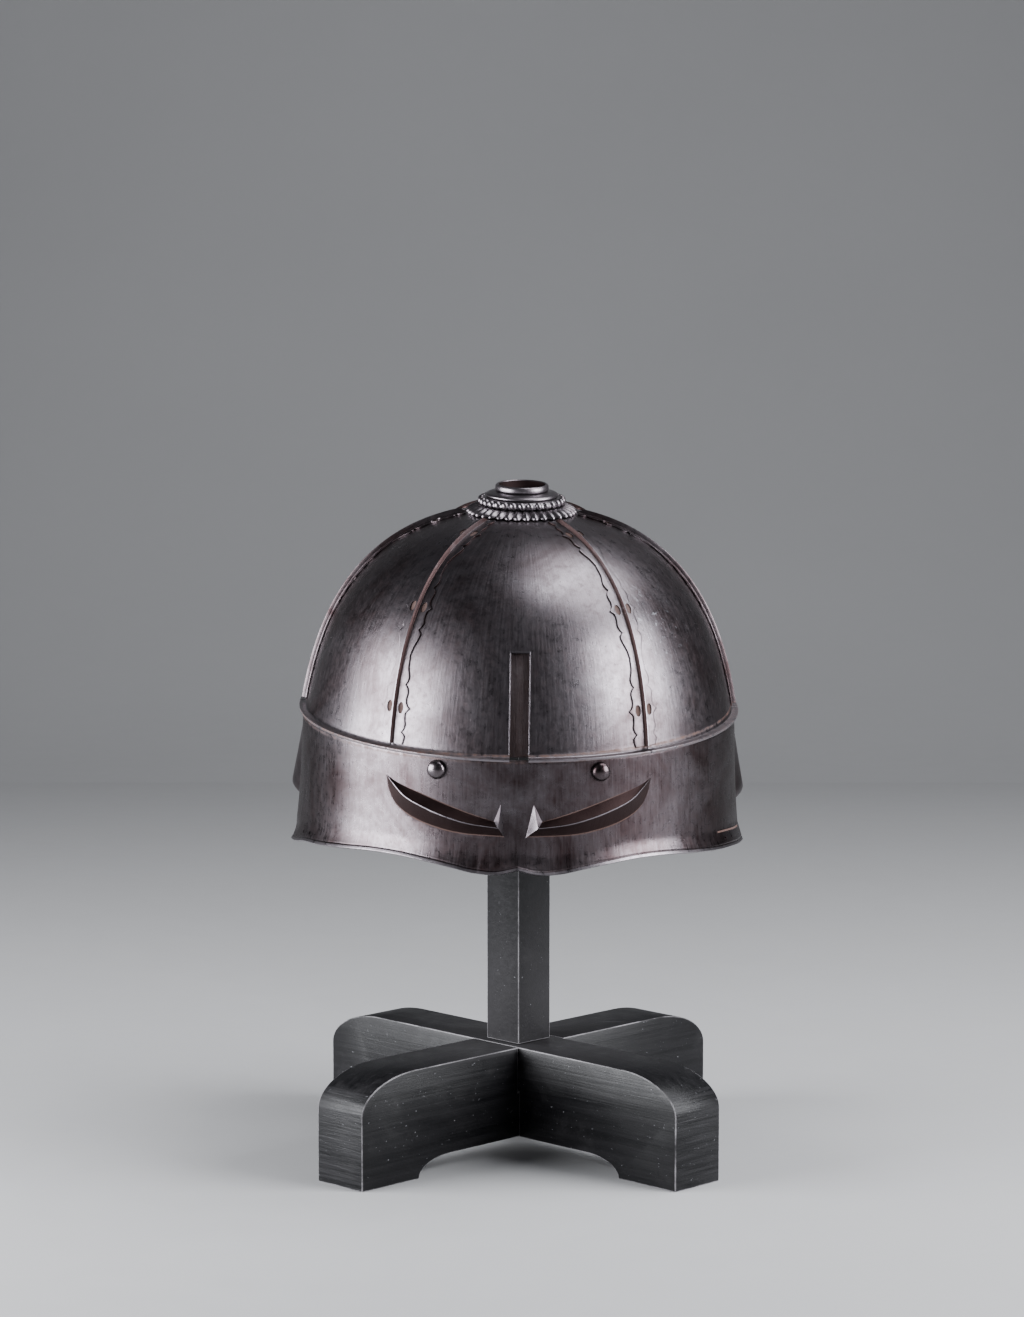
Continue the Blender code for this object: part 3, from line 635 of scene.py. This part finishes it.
slot_floor = flat_sheet("crest_slot_floor_strip", 0.0, slot_floor_half_width, arc_at_height(slot_floor_from),
                        arc_at_height(slot_floor_to), rows=60, columns=18)
thicken(slot_floor, slot_floor_thickness)
edit(slot_floor)
bpy.ops.transform.translate(value=(0, 0, -plate_thickness - 2 * fitting_gap))
let_go()
lay_on_bowl(slot_floor, "front")
settle(slot_floor, on_stand)
smooth(slot_floor)
# The floor is rusty, and painted darker towards near black.
give(slot_floor, russet_iron("slot_rust", bright=-0.3, rust=0.25, rough=0.5, grit=4.0, dark=0.45))
put_on(slot_floor, "crest_slot_floor")

# The raised line round the slot is drawn flat as three thin bars and joined to the front plate.
line_half_width = 0.24 * mm
line_thickness = 0.7 * mm
line_middle = slot_width / 2 + 0.2 * mm
lines = (("left_line", -line_middle, line_half_width, 1.6 * mm, slot_top),
         ("right_line", line_middle, line_half_width, 1.6 * mm, slot_top),
         ("top_line", 0.0, slot_width / 2 + 0.5 * mm, slot_top, slot_top + 0.8 * mm))
for name, middle, half_width, low, high in lines:
    line = flat_sheet(name, middle, half_width, arc_at_height(low), arc_at_height(high + 0.1 * mm),
                      rows=50, columns=8)
    thicken(line, line_thickness, offset=0.0)
    round_edges(line, 0.2 * mm, 60.0)
    lay_on_bowl(line, "front")
    give(line, plate_iron, worn_and_highlight_iron)
    # The raised line is painted bright all over, a painted highlight along the slot's edges.
    paint_faces(line, worn_and_highlight_finish, lambda centre, normal: True)
    take(front_plate)
    line.select_set(True)
    bpy.ops.object.join()
for name, plate in bowl_pieces.items():
    settle(plate, on_stand)
    smooth(plate, 50.0)
    put_on(plate, name)

# Seam strips. Iron strips with a scalloped edge cover the joints. Each has a standing rib folded
# up along its middle and three pairs of oval holes, rusty inside.
strip_height = 0.75 * mm
strip_half_width = 8.9 * mm
rib_height = 3.0 * mm
cusp_rises = (0.14, 0.475, 0.79)
cusp_reach = 20.0 * mm
upper_narrowing = 0.16
scallops = (((-1.30, 0.45), (-1.07, 0.56), (-0.86, 0.74), (-0.70, 0.80), (-0.60, 0.57)),
            ((-0.60, 0.57), (-0.54, 0.70), (-0.42, 0.79), (-0.26, 0.73), (-0.11, 0.75), (0.0, 1.0)),
            ((0.0, 1.0), (0.08, 0.79), (0.22, 0.70), (0.40, 0.75), (0.52, 0.66), (0.585, 0.49)),
            ((0.585, 0.49), (0.66, 0.61), (0.80, 0.66), (1.02, 0.50), (1.30, 0.45)))


def smooth_path(points, share):
    """Point at a share of the way along a smooth curve through the given points."""
    place = min(max(share, 0.0), 1.0) * (len(points) - 1)
    first = min(int(place), len(points) - 2)
    t = place - first
    here, after = Vector(points[first]), Vector(points[first + 1])
    before = Vector(points[first - 1]) if first else here * 2 - after
    beyond = Vector(points[first + 2]) if first + 2 < len(points) else after * 2 - here
    turned = (after - before) * t + (before * 2 - here * 5 + after * 4 - beyond) * t ** 2
    return here + (turned + (here * 3 - before - after * 3 + beyond) * t ** 3) / 2


def read_curve(table, value):
    """Height of a smooth curve through a table, at a value of its first column."""
    if value <= table[0][0]:
        return table[0][1]
    if value >= table[-1][0]:
        return table[-1][1]
    low, high = 0.0, 1.0
    for _ in range(14):
        middle = (low + high) / 2
        if smooth_path(table, middle)[0] < value:
            low = middle
        else:
            high = middle
    return smooth_path(table, low)[1]


def strip_width(arc):
    """Half width of a strip: a group of scallops round each pair of ovals, smaller higher up."""
    nearest = min(cusp_rises, key=lambda rise: abs(arc_at(rise) - arc))
    share = (arc - arc_at(nearest)) / cusp_reach
    span = next((table for table in scallops if share <= table[-1][0]), scallops[-1])
    width = read_curve(span, share) * (1.0 - upper_narrowing * nearest)
    return strip_half_width * width


def pull_grid(name, columns, rows, place, finish=None):
    """A grid pulled to shape: place gives the point, and finish the material, for a column and a row."""
    let_go()
    bpy.ops.mesh.primitive_grid_add(x_subdivisions=columns, y_subdivisions=rows, size=1.0)
    sheet = bpy.context.active_object
    sheet.name = name
    if finish is not None:
        for face in sheet.data.polygons:
            column, row = int((face.center.x + 0.5) * columns), int((face.center.y + 0.5) * rows)
            face.material_index = finish(column, row)
    for vertex in sheet.data.vertices:
        column = round((vertex.co.x + 0.5) * columns)
        row = round((vertex.co.y + 0.5) * rows)
        vertex.co = place(column, row)
    return sheet


def back_up(piece, level):
    """Give an open relief a flat back at the given level."""
    edit(piece)
    bpy.ops.mesh.extrude_region_move(TRANSFORM_OT_translate={"value": (0, 0, -1 * mm)})
    bpy.ops.transform.resize(value=(1, 1, 0), center_override=(0, 0, level))
    close_up(0.01 * mm)


# Dark brown iron: painted shade with rust on the seam strips' walls, and the dark brown of the brows'
# hollows.
brown_iron = russet_iron("brown_iron", bright=-0.75, rust=0.10, rough=0.38, grit=1.5, dark=0.35)
rusty_iron = russet_iron("rusty_iron", bright=0.10, rust=0.75, rough=0.55, grit=3.0)
iron_finishes = (plate_iron, worn_and_highlight_iron, brown_iron, rusty_iron)

rib_profile = ((-1.10, 0.0), (-0.88, 0.25), (-0.62, 0.80), (-0.28, 0.98), (0.0, 1.0),
               (0.28, 0.98), (0.62, 0.80), (0.88, 0.25), (1.10, 0.0))
rib_reach = len(rib_profile) // 2
rib_foot = 1.15 * mm
strip_sides = (0.22, 0.5, 0.8, 1.0)
strip_middle = rib_reach + len(strip_sides)
strip_rows = 330
strip_from = lip_thickness + 1.6 * mm
strip_top_radius = 29.7 * mm
strip_to = next(arcs[step] for step in range(arc_steps)
                if bowl_curve(step / arc_steps)[0] < strip_top_radius / bowl_half_width)


def strip_point(column, row):
    """A strip laid flat: from one scalloped edge over the rib to the other, row by row upward."""
    arc = strip_from + (strip_to - strip_from) * row / strip_rows
    width = strip_width(arc)
    beside = column - strip_middle
    if abs(beside) <= rib_reach:
        across, lift = rib_profile[beside + rib_reach]
        taper = min(1.0, (strip_to - arc) / (4 * mm) + 0.3)
        narrow = 1.0 - 0.45 * arc / strip_to
        return across * mm * narrow, arc, strip_height + (rib_height - strip_height) * lift * taper
    share = strip_sides[abs(beside) - rib_reach - 1]
    x = rib_foot + (width - rib_foot) * share
    return math.copysign(x, beside), arc, strip_height


flat_strip = pull_grid("flat_strip", 2 * strip_middle, strip_rows, strip_point)
back_up(flat_strip, 0.05 * mm)
oval_half_width = 1.6 * mm
oval_half_length = 2.9 * mm
oval_from_rib = 3.5 * mm
oval_cutter_depth = 4 * mm
oval_cutter_middle = 2.22 * mm
for rise in cusp_rises:
    for side in (-1, 1):
        let_go()
        bpy.ops.mesh.primitive_cylinder_add(vertices=32, radius=1.0, depth=oval_cutter_depth)
        oval = bpy.context.active_object
        oval.scale = (oval_half_width, oval_half_length, 1.0)
        oval.location = (side * oval_from_rib, arc_at(rise), oval_cutter_middle)
        settle(oval)
        join_solid(flat_strip, oval, "DIFFERENCE")
give(flat_strip, *iron_finishes)
round_edges(flat_strip, 0.22 * mm, 60.0)

# The edges and the rib's sides are painted dark brown: rust, and a painted shade on these walls.
# The top of the rib is painted bright as a highlight, and the ovals are rusty.
paint_faces(flat_strip, brown_finish, lambda centre, normal: abs(normal.z) < 0.9 or centre.z > 1.2 * mm)
paint_faces(flat_strip, worn_and_highlight_finish, lambda centre, normal: abs(centre.x) < 0.2 * mm and centre.z > 2.7 * mm)
paint_faces(flat_strip, rusty_finish,
            lambda centre, normal: normal.z > 0.5 and 0.15 * mm < centre.z < 0.35 * mm)
for seam in ("front_left", "front_right", "right", "back_right", "back_left", "left"):
    strip = copy_of(flat_strip, "seam_strip_" + seam + "_laid")
    # The left and right seams, seen edge on, keep their walls plain, without the painted shade.
    if seam in ("left", "right"):
        for face in strip.data.polygons:
            if face.material_index == brown_finish:
                face.material_index = plain_finish
    lay_on_bowl(strip, seam)
    settle(strip, on_stand)
    smooth(strip, 35.0)
    put_on(strip, "seam_strip_" + seam)
bpy.data.objects.remove(flat_strip, do_unlink=True)

# Visor. A curved iron plate under the rim, keeled at the middle, its lower edge turned out to a thin lip with
# a painted highlight along it. Two crescent brows and their small horns are hammered up from behind and
# filed.
visor_radius = 115.0 * mm
visor_half_angle = math.radians(81.0)
visor_depth = 57.2 * mm
visor_thickness = 1.6 * mm
visor_edge = ((0.0, 0.955), (0.062, 1.0), (0.130, 0.998), (0.198, 0.967), (0.278, 0.937), (0.377, 0.918),
              (0.488, 0.934), (0.617, 0.988), (0.741, 1.047), (0.833, 1.086), (0.938, 1.136), (1.0, 1.154))
edge_rows = (9.5, 8.6, 7.7, 6.8, 6.0, 5.2, 4.5, 3.8, 3.2, 2.7, 2.3, 2.0, 1.7, 1.4, 1.1, 0.8, 0.4, 0.0)
wall_rows = 26
visor_columns = 400
visor_out = 2.1 * mm
visor_lean = 0.03
visor_bow = 1.5 * mm
left_end_drop = 2.6 * mm
edge_turned_out = 2.25 * mm
more_at_ends = 0.5 * mm
groove_depth = 0.22 * mm
groove_above_edge = 1.7 * mm
groove_half_width = 0.3 * mm
bright_rows = 4
keel_height = 1.8 * mm
keel_half_width = 0.12


def ease(start, end, value):
    """Smooth step from 0 at start to 1 at end."""
    share = min(1.0, max(0.0, (value - start) / (end - start)))
    return share * share * (3.0 - 2.0 * share)


def keel_out(share, z):
    """How far the visor's middle stands out in a keel, most at the bottom."""
    return keel_height * max(0.0, 1.0 - share / keel_half_width) * min(1.0, 0.2 - z / visor_depth)


def beside_rim(angle, out, height):
    """Point at an angle from the front, out from the rim's edge, at a height over it."""
    return (bowl_half_width + out) * math.sin(angle), -(bowl_half_depth + out) * math.cos(angle), height


def bend_visor(piece):
    """Bend the flat visor round the rim: x becomes the angle, y the height and z the way out."""
    for vertex in piece.data.vertices:
        angle = vertex.co.x / visor_radius
        height = vertex.co.y
        out = vertex.co.z + visor_out - visor_lean * height
        out += keel_out(min(1.0, abs(angle) / visor_half_angle), height)
        out += visor_bow * min(1.0, max(0.0, -height / visor_depth)) ** 3
        vertex.co = beside_rim(angle, out, height)


def visor_point(column, row):
    """The visor laid flat: a plain wall, then closer rows where the lower edge turns out."""
    share = column / visor_columns * 2 - 1
    low = -visor_depth * read_curve(visor_edge, abs(share)) + 0.4 * mm
    low -= left_end_drop * ease(0.8, 1.0, -share)
    if row <= wall_rows:
        height = -fitting_gap + (low + edge_rows[0] * mm + fitting_gap) * row / wall_rows
        return share * visor_half_angle * visor_radius, height, 0.0
    above = edge_rows[row - wall_rows] * mm
    turned = edge_turned_out + more_at_ends * abs(share)
    out = turned * (1 - above / (edge_rows[0] * mm)) ** (2.2 - 1.1 * ease(0.6, 0.95, share))
    groove = groove_depth * math.exp(-((above - groove_above_edge) / groove_half_width) ** 2)
    return share * visor_half_angle * visor_radius, low + above, out - groove


def visor_finish(column, row):
    """The lower edge is painted bright as a highlight, and a rust line lies in the fold near the right end.
    """
    if row >= wall_rows + len(edge_rows) - bright_rows:
        return worn_and_highlight_finish
    share = column / visor_columns * 2 - 1
    return rusty_finish if row == wall_rows + 1 and 0.76 < share < 0.97 else plain_finish


visor = pull_grid("visor_hammered", visor_columns, wall_rows + len(edge_rows) - 1, visor_point, visor_finish)
edit(visor)
bpy.ops.mesh.normals_make_consistent(inside=False)
let_go()
if visor.data.polygons[0].normal.z < 0:
    visor.data.flip_normals()
thicken(visor, visor_thickness)
visor_finishes = (russet_iron("visor_iron", bright=-0.20, rough=0.28), worn_and_highlight_iron, brown_iron, rusty_iron)
give(visor, *visor_finishes)
round_edges(visor, 0.3 * mm, 60.0, worn_and_highlight_finish)

brow_foot_height = -0.08
brow_tip = (1.035, 0.31, brow_foot_height)
brow_upper = ((0.943, 0.383), (0.829, 0.436), (0.700, 0.495), (0.500, 0.602), (0.334, 0.694), (0.173, 0.781))
brow_ridge = ((0.914, 0.449, 0.37), (0.817, 0.556, 0.63), (0.671, 0.648, 0.83), (0.500, 0.737, 0.92),
              (0.334, 0.800, 0.97), (0.134, 0.830, 1.0))
brow_lower = ((1.010, 0.545), (0.935, 0.735), (0.800, 0.867), (0.610, 0.955), (0.390, 1.0))
brow_foot_drop = 0.995
brow_horn_drop = 0.540
brow_inner_ends = {-1: (0.092, 0.122), 1: (0.049, 0.108)}
upper_path = [brow_tip] + [(across, drop, brow_foot_height) for across, drop in brow_upper]
ridge_path = [brow_tip] + list(brow_ridge)
brow_half_angle = math.radians(35.0)
brow_drop = 39.2 * mm
brow_peak = 5.95 * mm
brow_root = -0.9 * mm
brow_steps = 60
brow_across = (-1.0, -0.8, -0.6, -0.4, -0.2, -0.08, -0.035, 0.035, 0.08, 0.2, 0.4, 0.6, 0.8, 1.0)


def brow_shares(side, column, row):
    """Angle share, drop share and height share of a point on the brow's relief."""
    foot_across, horn_across = brow_inner_ends[side]
    brow_horn = Vector((horn_across, brow_horn_drop, brow_foot_height))
    lower_ends = brow_lower + ((foot_across, brow_foot_drop),)
    lower_path = [brow_tip] + [(across, drop, brow_foot_height) for across, drop in lower_ends]
    across = brow_across[column]
    step = min(row, brow_steps) / brow_steps
    upper, ridge, lower = (smooth_path(path, step) for path in (upper_path, ridge_path, lower_path))
    if row > brow_steps:
        upper = brow_horn
    if row > brow_steps + 1:
        ridge = (brow_horn + lower) / 2
    edge = upper if across < 0 else lower
    point = ridge.lerp(edge, abs(across))
    if row < brow_steps:
        point.z = edge.z + (ridge.z - edge.z) * (1 - abs(across)) ** 1.25
    return point


def brow_point(side, column, row):
    """The same point in metres, on the flat visor."""
    point = brow_shares(side, column, row)
    return side * point.x * brow_half_angle * visor_radius, -point.y * brow_drop, point.z * brow_peak


def brow_finish(column, row):
    """The crescent's hollows are painted dark brown with rusty rims; its ridge and the horn's faces are
    painted bright as highlights.
    """
    if row < brow_steps and column in (0, len(brow_across) - 2):
        return rusty_finish
    return worn_and_highlight_finish if row >= brow_steps or column == len(brow_across) // 2 - 1 else brown_finish


for side in (-1, 1):
    brow = pull_grid("brow", len(brow_across) - 1, brow_steps + 2,
                     lambda column, row: brow_point(side, column, row), brow_finish)
    back_up(brow, brow_root)
    give(brow, *visor_finishes)
    join_solid(visor, brow, "UNION")
lacing_holes = (0.81, 0.865)
lacing_hole_radius = 0.85 * mm
lacing_hole_slant = math.radians(-40.0)
lacing_hole_up = 4.6 * mm
for side in (-1, 1):
    for share in lacing_holes:
        let_go()
        bpy.ops.mesh.primitive_cylinder_add(vertices=20, radius=lacing_hole_radius, depth=14 * mm)
        hole = bpy.context.active_object
        hole.rotation_euler = (lacing_hole_slant, 0.0, 0.0)
        hole_height = lacing_hole_up - visor_depth * read_curve(visor_edge, share)
        hole.location = (side * share * visor_half_angle * visor_radius, hole_height, 1.0 * mm)
        settle(hole)
        join_solid(visor, hole, "DIFFERENCE")
bend_visor(visor)
settle(visor, on_stand)
smooth(visor, 32.0)
put_on(visor, "visor")

# Visor rivets. Domed heads, filed bright, that hold the visor to the neck band behind it.
rivet_angle = math.radians(20.9)
rivet_drop = 6.6 * mm
rivet_radius = 4.9 * mm
rivet_flattening = 0.72
rivet_lift = 0.6 * mm
rivet_iron = russet_iron("rivet_iron", bright=-0.15, rough=0.25, grit=0.4)
for side, name in ((-1, "visor_rivet_left"), (1, "visor_rivet_right")):
    angle = side * rivet_angle
    let_go()
    bpy.ops.mesh.primitive_uv_sphere_add(segments=40, ring_count=24, radius=rivet_radius)
    rivet = bpy.context.active_object
    rivet.name = name + "_domed"
    edit(rivet)
    bpy.ops.transform.resize(value=(1, 1, rivet_flattening))
    bpy.ops.transform.translate(value=(0, 0, rivet_lift))
    bpy.ops.mesh.select_all(action="SELECT")
    bpy.ops.mesh.bisect(plane_co=(0, 0, 0), plane_no=(0, 0, -1), use_fill=True, clear_outer=True)
    let_go()
    facing = Vector((math.sin(angle) / bowl_half_width, -math.cos(angle) / bowl_half_depth, 0.0)).normalized()
    out = visor_out + visor_lean * rivet_drop + fitting_gap
    foot = beside_rim(angle, out, -rivet_drop)
    turn = Vector((0, 0, 1)).rotation_difference(facing).to_matrix().to_4x4()
    settle(rivet, on_stand @ Matrix.Translation(foot) @ turn)
    smooth(rivet, 50.0)
    give(rivet, rivet_iron)
    put_on(rivet, name)

# Neck band. A hoop of iron under the rim, shallow behind the visor, deep and flared round the
# sides and back, where the lost neck guard was laced on.
band_thickness = 1.2 * mm
band_flare = math.radians(10.6)
band_front_depth = 15.0
more_at_sides = 32.5
less_at_back = 6.0
band_columns = 300
band_rows = 12


def band_point(column, row):
    """A column for each angle from the back round to the back again, row by row downward."""
    angle = -math.pi + math.tau * column / band_columns
    degrees = abs(math.degrees(angle))
    depth = band_front_depth + more_at_sides * ease(52.0, 78.0, degrees)
    depth = (depth - less_at_back * ease(82.0, 100.0, degrees)) * mm
    height = -fitting_gap - (depth - fitting_gap) * row / band_rows
    out = -height * math.tan(band_flare) * ease(80.0, 94.0, degrees)
    return beside_rim(angle, out, height)


band = pull_grid("neck_band_hoop", band_columns, band_rows, band_point)
edit(band)
close_up(0.02 * mm)
face = band.data.polygons[0]
if face.normal.x * face.center.x + face.normal.y * face.center.y < 0:
    band.data.flip_normals()
thicken(band, band_thickness)
give(band, plate_iron, worn_and_highlight_iron)
round_edges(band, 0.3 * mm, 60.0, worn_and_highlight_finish)
settle(band, on_stand)
smooth(band)
put_on(band, "neck_band")

# Finial. Cast and chased iron rings stacked on the crown: petals, a roped ring of twisted beads,
# a plain ring, and a collar with a turned-over lip that pins them over the crown hole.
finial_iron = russet_iron("finial_iron", bright=0.40, rough=0.32, grit=0.25)
# The inside of the bore is painted near black, a painted shade in the hole.
bore_shade_iron = russet_iron("bore_shade_iron", bright=-1.0, rough=0.6, dark=0.7)
bore_shade_finish = 1
bore_radius = 12.3 * mm
petal_count = 36
petal_divisions = 12
petal_top = 107.6 * mm
petal_lift = 5.1
petal_groove_in = 2.0
petal_groove_down = 0.9 * mm
bead_count = 30
bead_circle = 21.1 * mm
bead_middle = 109.8 * mm
bead_slant = math.radians(-34.0)
bead_half_sizes = (1.80 * mm, 1.9 * mm, 2.2 * mm)


def seat_height(x, y):
    """Height of the bowl's face over a point of its plan."""
    reach = math.hypot(x / bowl_half_width, y / bowl_half_depth)
    low = last_step(lambda step: bowl_curve(step / arc_steps)[0] > reach)
    inner, outer = bowl_curve((low + 1) / arc_steps), bowl_curve(low / arc_steps)
    share = (reach - inner[0]) / (outer[0] - inner[0])
    return bowl_height * (inner[1] + (outer[1] - inner[1]) * share)


petal_section = ((11.9, 0.0), (20.0, 0.0), (28.0, 0.0), (28.8, 0.2), (29.0, 0.9), (28.8, 1.7), (28.2, 2.5),
                 (27.3, 3.3), (26.2, 4.0), (25.0, 4.6), (23.7, 5.0), (22.4, petal_lift), (11.9, petal_lift))


def petal_point(column, row):
    """The ring's section at an angle, drawn in and down between the petals and sat on the bowl."""
    angle = math.tau * column / (petal_count * petal_divisions)
    wave = abs(math.sin(angle * petal_count / 2))
    groove = 1 - wave
    radius, lift = petal_section[row % len(petal_section)]
    outer_part = ease(19.0, 26.5, radius)
    radius = (radius - petal_groove_in * groove * outer_part) * mm
    x, y = radius * math.sin(angle), -radius * math.cos(angle)
    seated = seat_height(x, y) + fitting_gap + 0.15 * mm
    share = lift / petal_lift
    lowered = petal_groove_down * groove * outer_part * share
    return x, y, seated + (petal_top - seated) * share - lowered


petals = pull_grid("finial_petal_ring_chased", petal_count * petal_divisions, len(petal_section), petal_point)
edit(petals)
close_up(0.01 * mm)
settle(petals, on_stand)
smooth(petals, 45.0)
give(petals, finial_iron)
put_on(petals, "finial_petal_ring")


def turn_ring(name, section, steps):
    """Draw a ring's closed section, in mm of radius and height, and spin it round the crown."""
    chain = [(radius * mm, 0, height * mm) for radius, height in section]
    ring = draw_chain(name, chain + chain[:1])
    spin_round(ring, steps)
    return ring


core_section = ((11.9, 107.9), (21.2, 107.9), (21.8, 108.8), (21.8, 109.8), (21.2, 110.9), (20.0, 111.6),
                (11.9, 111.6))
beads = turn_ring("bead_core", core_section, 90)
for bead in range(bead_count):
    let_go()
    bpy.ops.mesh.primitive_uv_sphere_add(segments=20, ring_count=14, radius=1.0)
    knob = bpy.context.active_object
    twist = Matrix.Rotation(bead_slant, 4, "Y") @ Matrix.Diagonal((*bead_half_sizes, 1.0))
    turn = Matrix.Rotation(math.tau * bead / bead_count, 4, "Z")
    settle(knob, turn @ Matrix.Translation((0, -bead_circle, bead_middle)) @ twist)
    take(beads)
    knob.select_set(True)
    bpy.ops.object.join()
settle(beads, on_stand)
smooth(beads, 60.0)
beads.name = "finial_bead_ring_chased"
give(beads, finial_iron)
put_on(beads, "finial_bead_ring")

smooth_section = ((11.9, 111.9), (18.2, 111.9), (18.7, 112.2), (18.9, 112.7), (18.75, 113.2), (18.2, 113.6),
                  (17.2, 113.95), (15.8, 114.35), (14.4, 114.62), (13.0, 114.7), (11.9, 114.7))
collar_section = ((11.6, 104.5), (11.6, 114.9), (13.2, 114.95), (13.7, 115.2), (13.95, 115.7), (14.0, 116.4),
                  (13.9, 117.2), (13.65, 117.8), (13.3, 118.2), (12.8, 118.35), (12.45, 118.25),
                  (12.2, 117.9), (11.7, 117.0), (10.7, 115.8), (9.8, 114.9), (9.4, 114.2), (9.4, 104.5))
for name, section in (("finial_smooth_ring", smooth_section), ("finial_collar", collar_section)):
    ring = turn_ring(name + "_turned", section, 96)
    give(ring, finial_iron, bore_shade_iron)
    # Faces inside the bore take the painted shade.
    paint_faces(ring, bore_shade_finish, lambda centre, normal: math.hypot(centre.x, centre.y) < bore_radius)
    settle(ring, on_stand)
    smooth(ring)
    put_on(ring, name)

# Camera, floor and lights. The camera stands where the photograph was taken from. A pale paper
# sweep lies under the stand, and three soft boxes and a dim room light it.
sensor = 36.0
photo_height = 1317.0
focal_length_in_pixels = 3731.0
camera_pitch_down = 6.47
camera_aside, camera_away, camera_height = -3.43 * mm, 1939.0 * mm, 479.0 * mm
let_go()
camera_data = bpy.data.cameras.new("camera")
camera = bpy.data.objects.new("camera", camera_data)
bpy.context.collection.objects.link(camera)
camera_data.sensor_fit = "VERTICAL"
camera_data.sensor_height = sensor
camera_data.lens = focal_length_in_pixels / photo_height * sensor
camera.location = (stand_middle.x + camera_aside, stand_middle.y - camera_away, camera_height)
camera.rotation_euler = (math.radians(90.0 - camera_pitch_down), 0.0, 0.0)
camera_data.clip_end = 50.0
bpy.context.scene.camera = camera

sweep_width = 12.0
sweep_columns = 4
sweep_radius = 1.2
sweep_back = 1.3
flat_rows, curved_rows, wall_sheet_rows = 8, 16, 2


def sweep_point(column, row):
    """A sheet of paper that lies on the floor and sweeps up behind the stand to a wall."""
    x = (column / sweep_columns - 0.5) * sweep_width
    if row < flat_rows:
        return x, -5.0 + row * 0.9, 0.0
    turn = math.pi / 2 * min(1.0, (row - flat_rows) / curved_rows)
    up_wall = max(0, row - flat_rows - curved_rows) * 1.5
    return x, sweep_back + sweep_radius * math.sin(turn), sweep_radius * (1 - math.cos(turn)) + up_wall


floor = pull_grid("floor", sweep_columns, flat_rows + curved_rows + wall_sheet_rows, sweep_point)
smooth(floor, 60.0)
floor_finish = new_finish("floor_finish", 0.0)
floor_place = node(floor_finish, "ShaderNodeTexCoord").outputs["Object"]
floor_tone = blend_colours(floor_finish, cloud(floor_finish, floor_place, 3.0), (0.37, 0.37, 0.375, 1),
                           (0.40, 0.40, 0.405, 1))
floor_rough = spread(floor_finish, cloud(floor_finish, floor_place, 40.0), 0.3, 0.7, 0.75, 0.9)
wire(floor_finish, floor_tone, floor_rough)
floor.data.materials.append(floor_finish)

light_middle = Vector((0.0, 0.0, 0.28))
cool_white = (0.95, 0.965, 1.0)


def soft_light(name, place, width, height, power):
    """A soft box at a place, turned to the helmet."""
    data = bpy.data.lights.new(name, "AREA")
    data.shape = "RECTANGLE"
    data.size = width
    data.size_y = height
    data.energy = power
    data.color = cool_white
    lamp = bpy.data.objects.new(name, data)
    lamp.location = place
    lamp.rotation_euler = (light_middle - Vector(place)).to_track_quat("-Z", "Y").to_euler()
    bpy.context.collection.objects.link(lamp)


soft_light("left_softbox", (-0.92, -0.30, 0.34), 0.85, 0.64, 33.0)
soft_light("right_softbox", (1.00, -0.42, 0.56), 0.72, 0.80, 32.0)
soft_light("top_softbox", (0.55, -0.02, 1.35), 0.85, 0.85, 17.0)
world = bpy.data.worlds.new("studio")
world.use_nodes = True
world.node_tree.nodes["Background"].inputs["Color"].default_value = (0.30, 0.31, 0.34, 1)
world.node_tree.nodes["Background"].inputs["Strength"].default_value = 0.22
bpy.context.scene.world = world
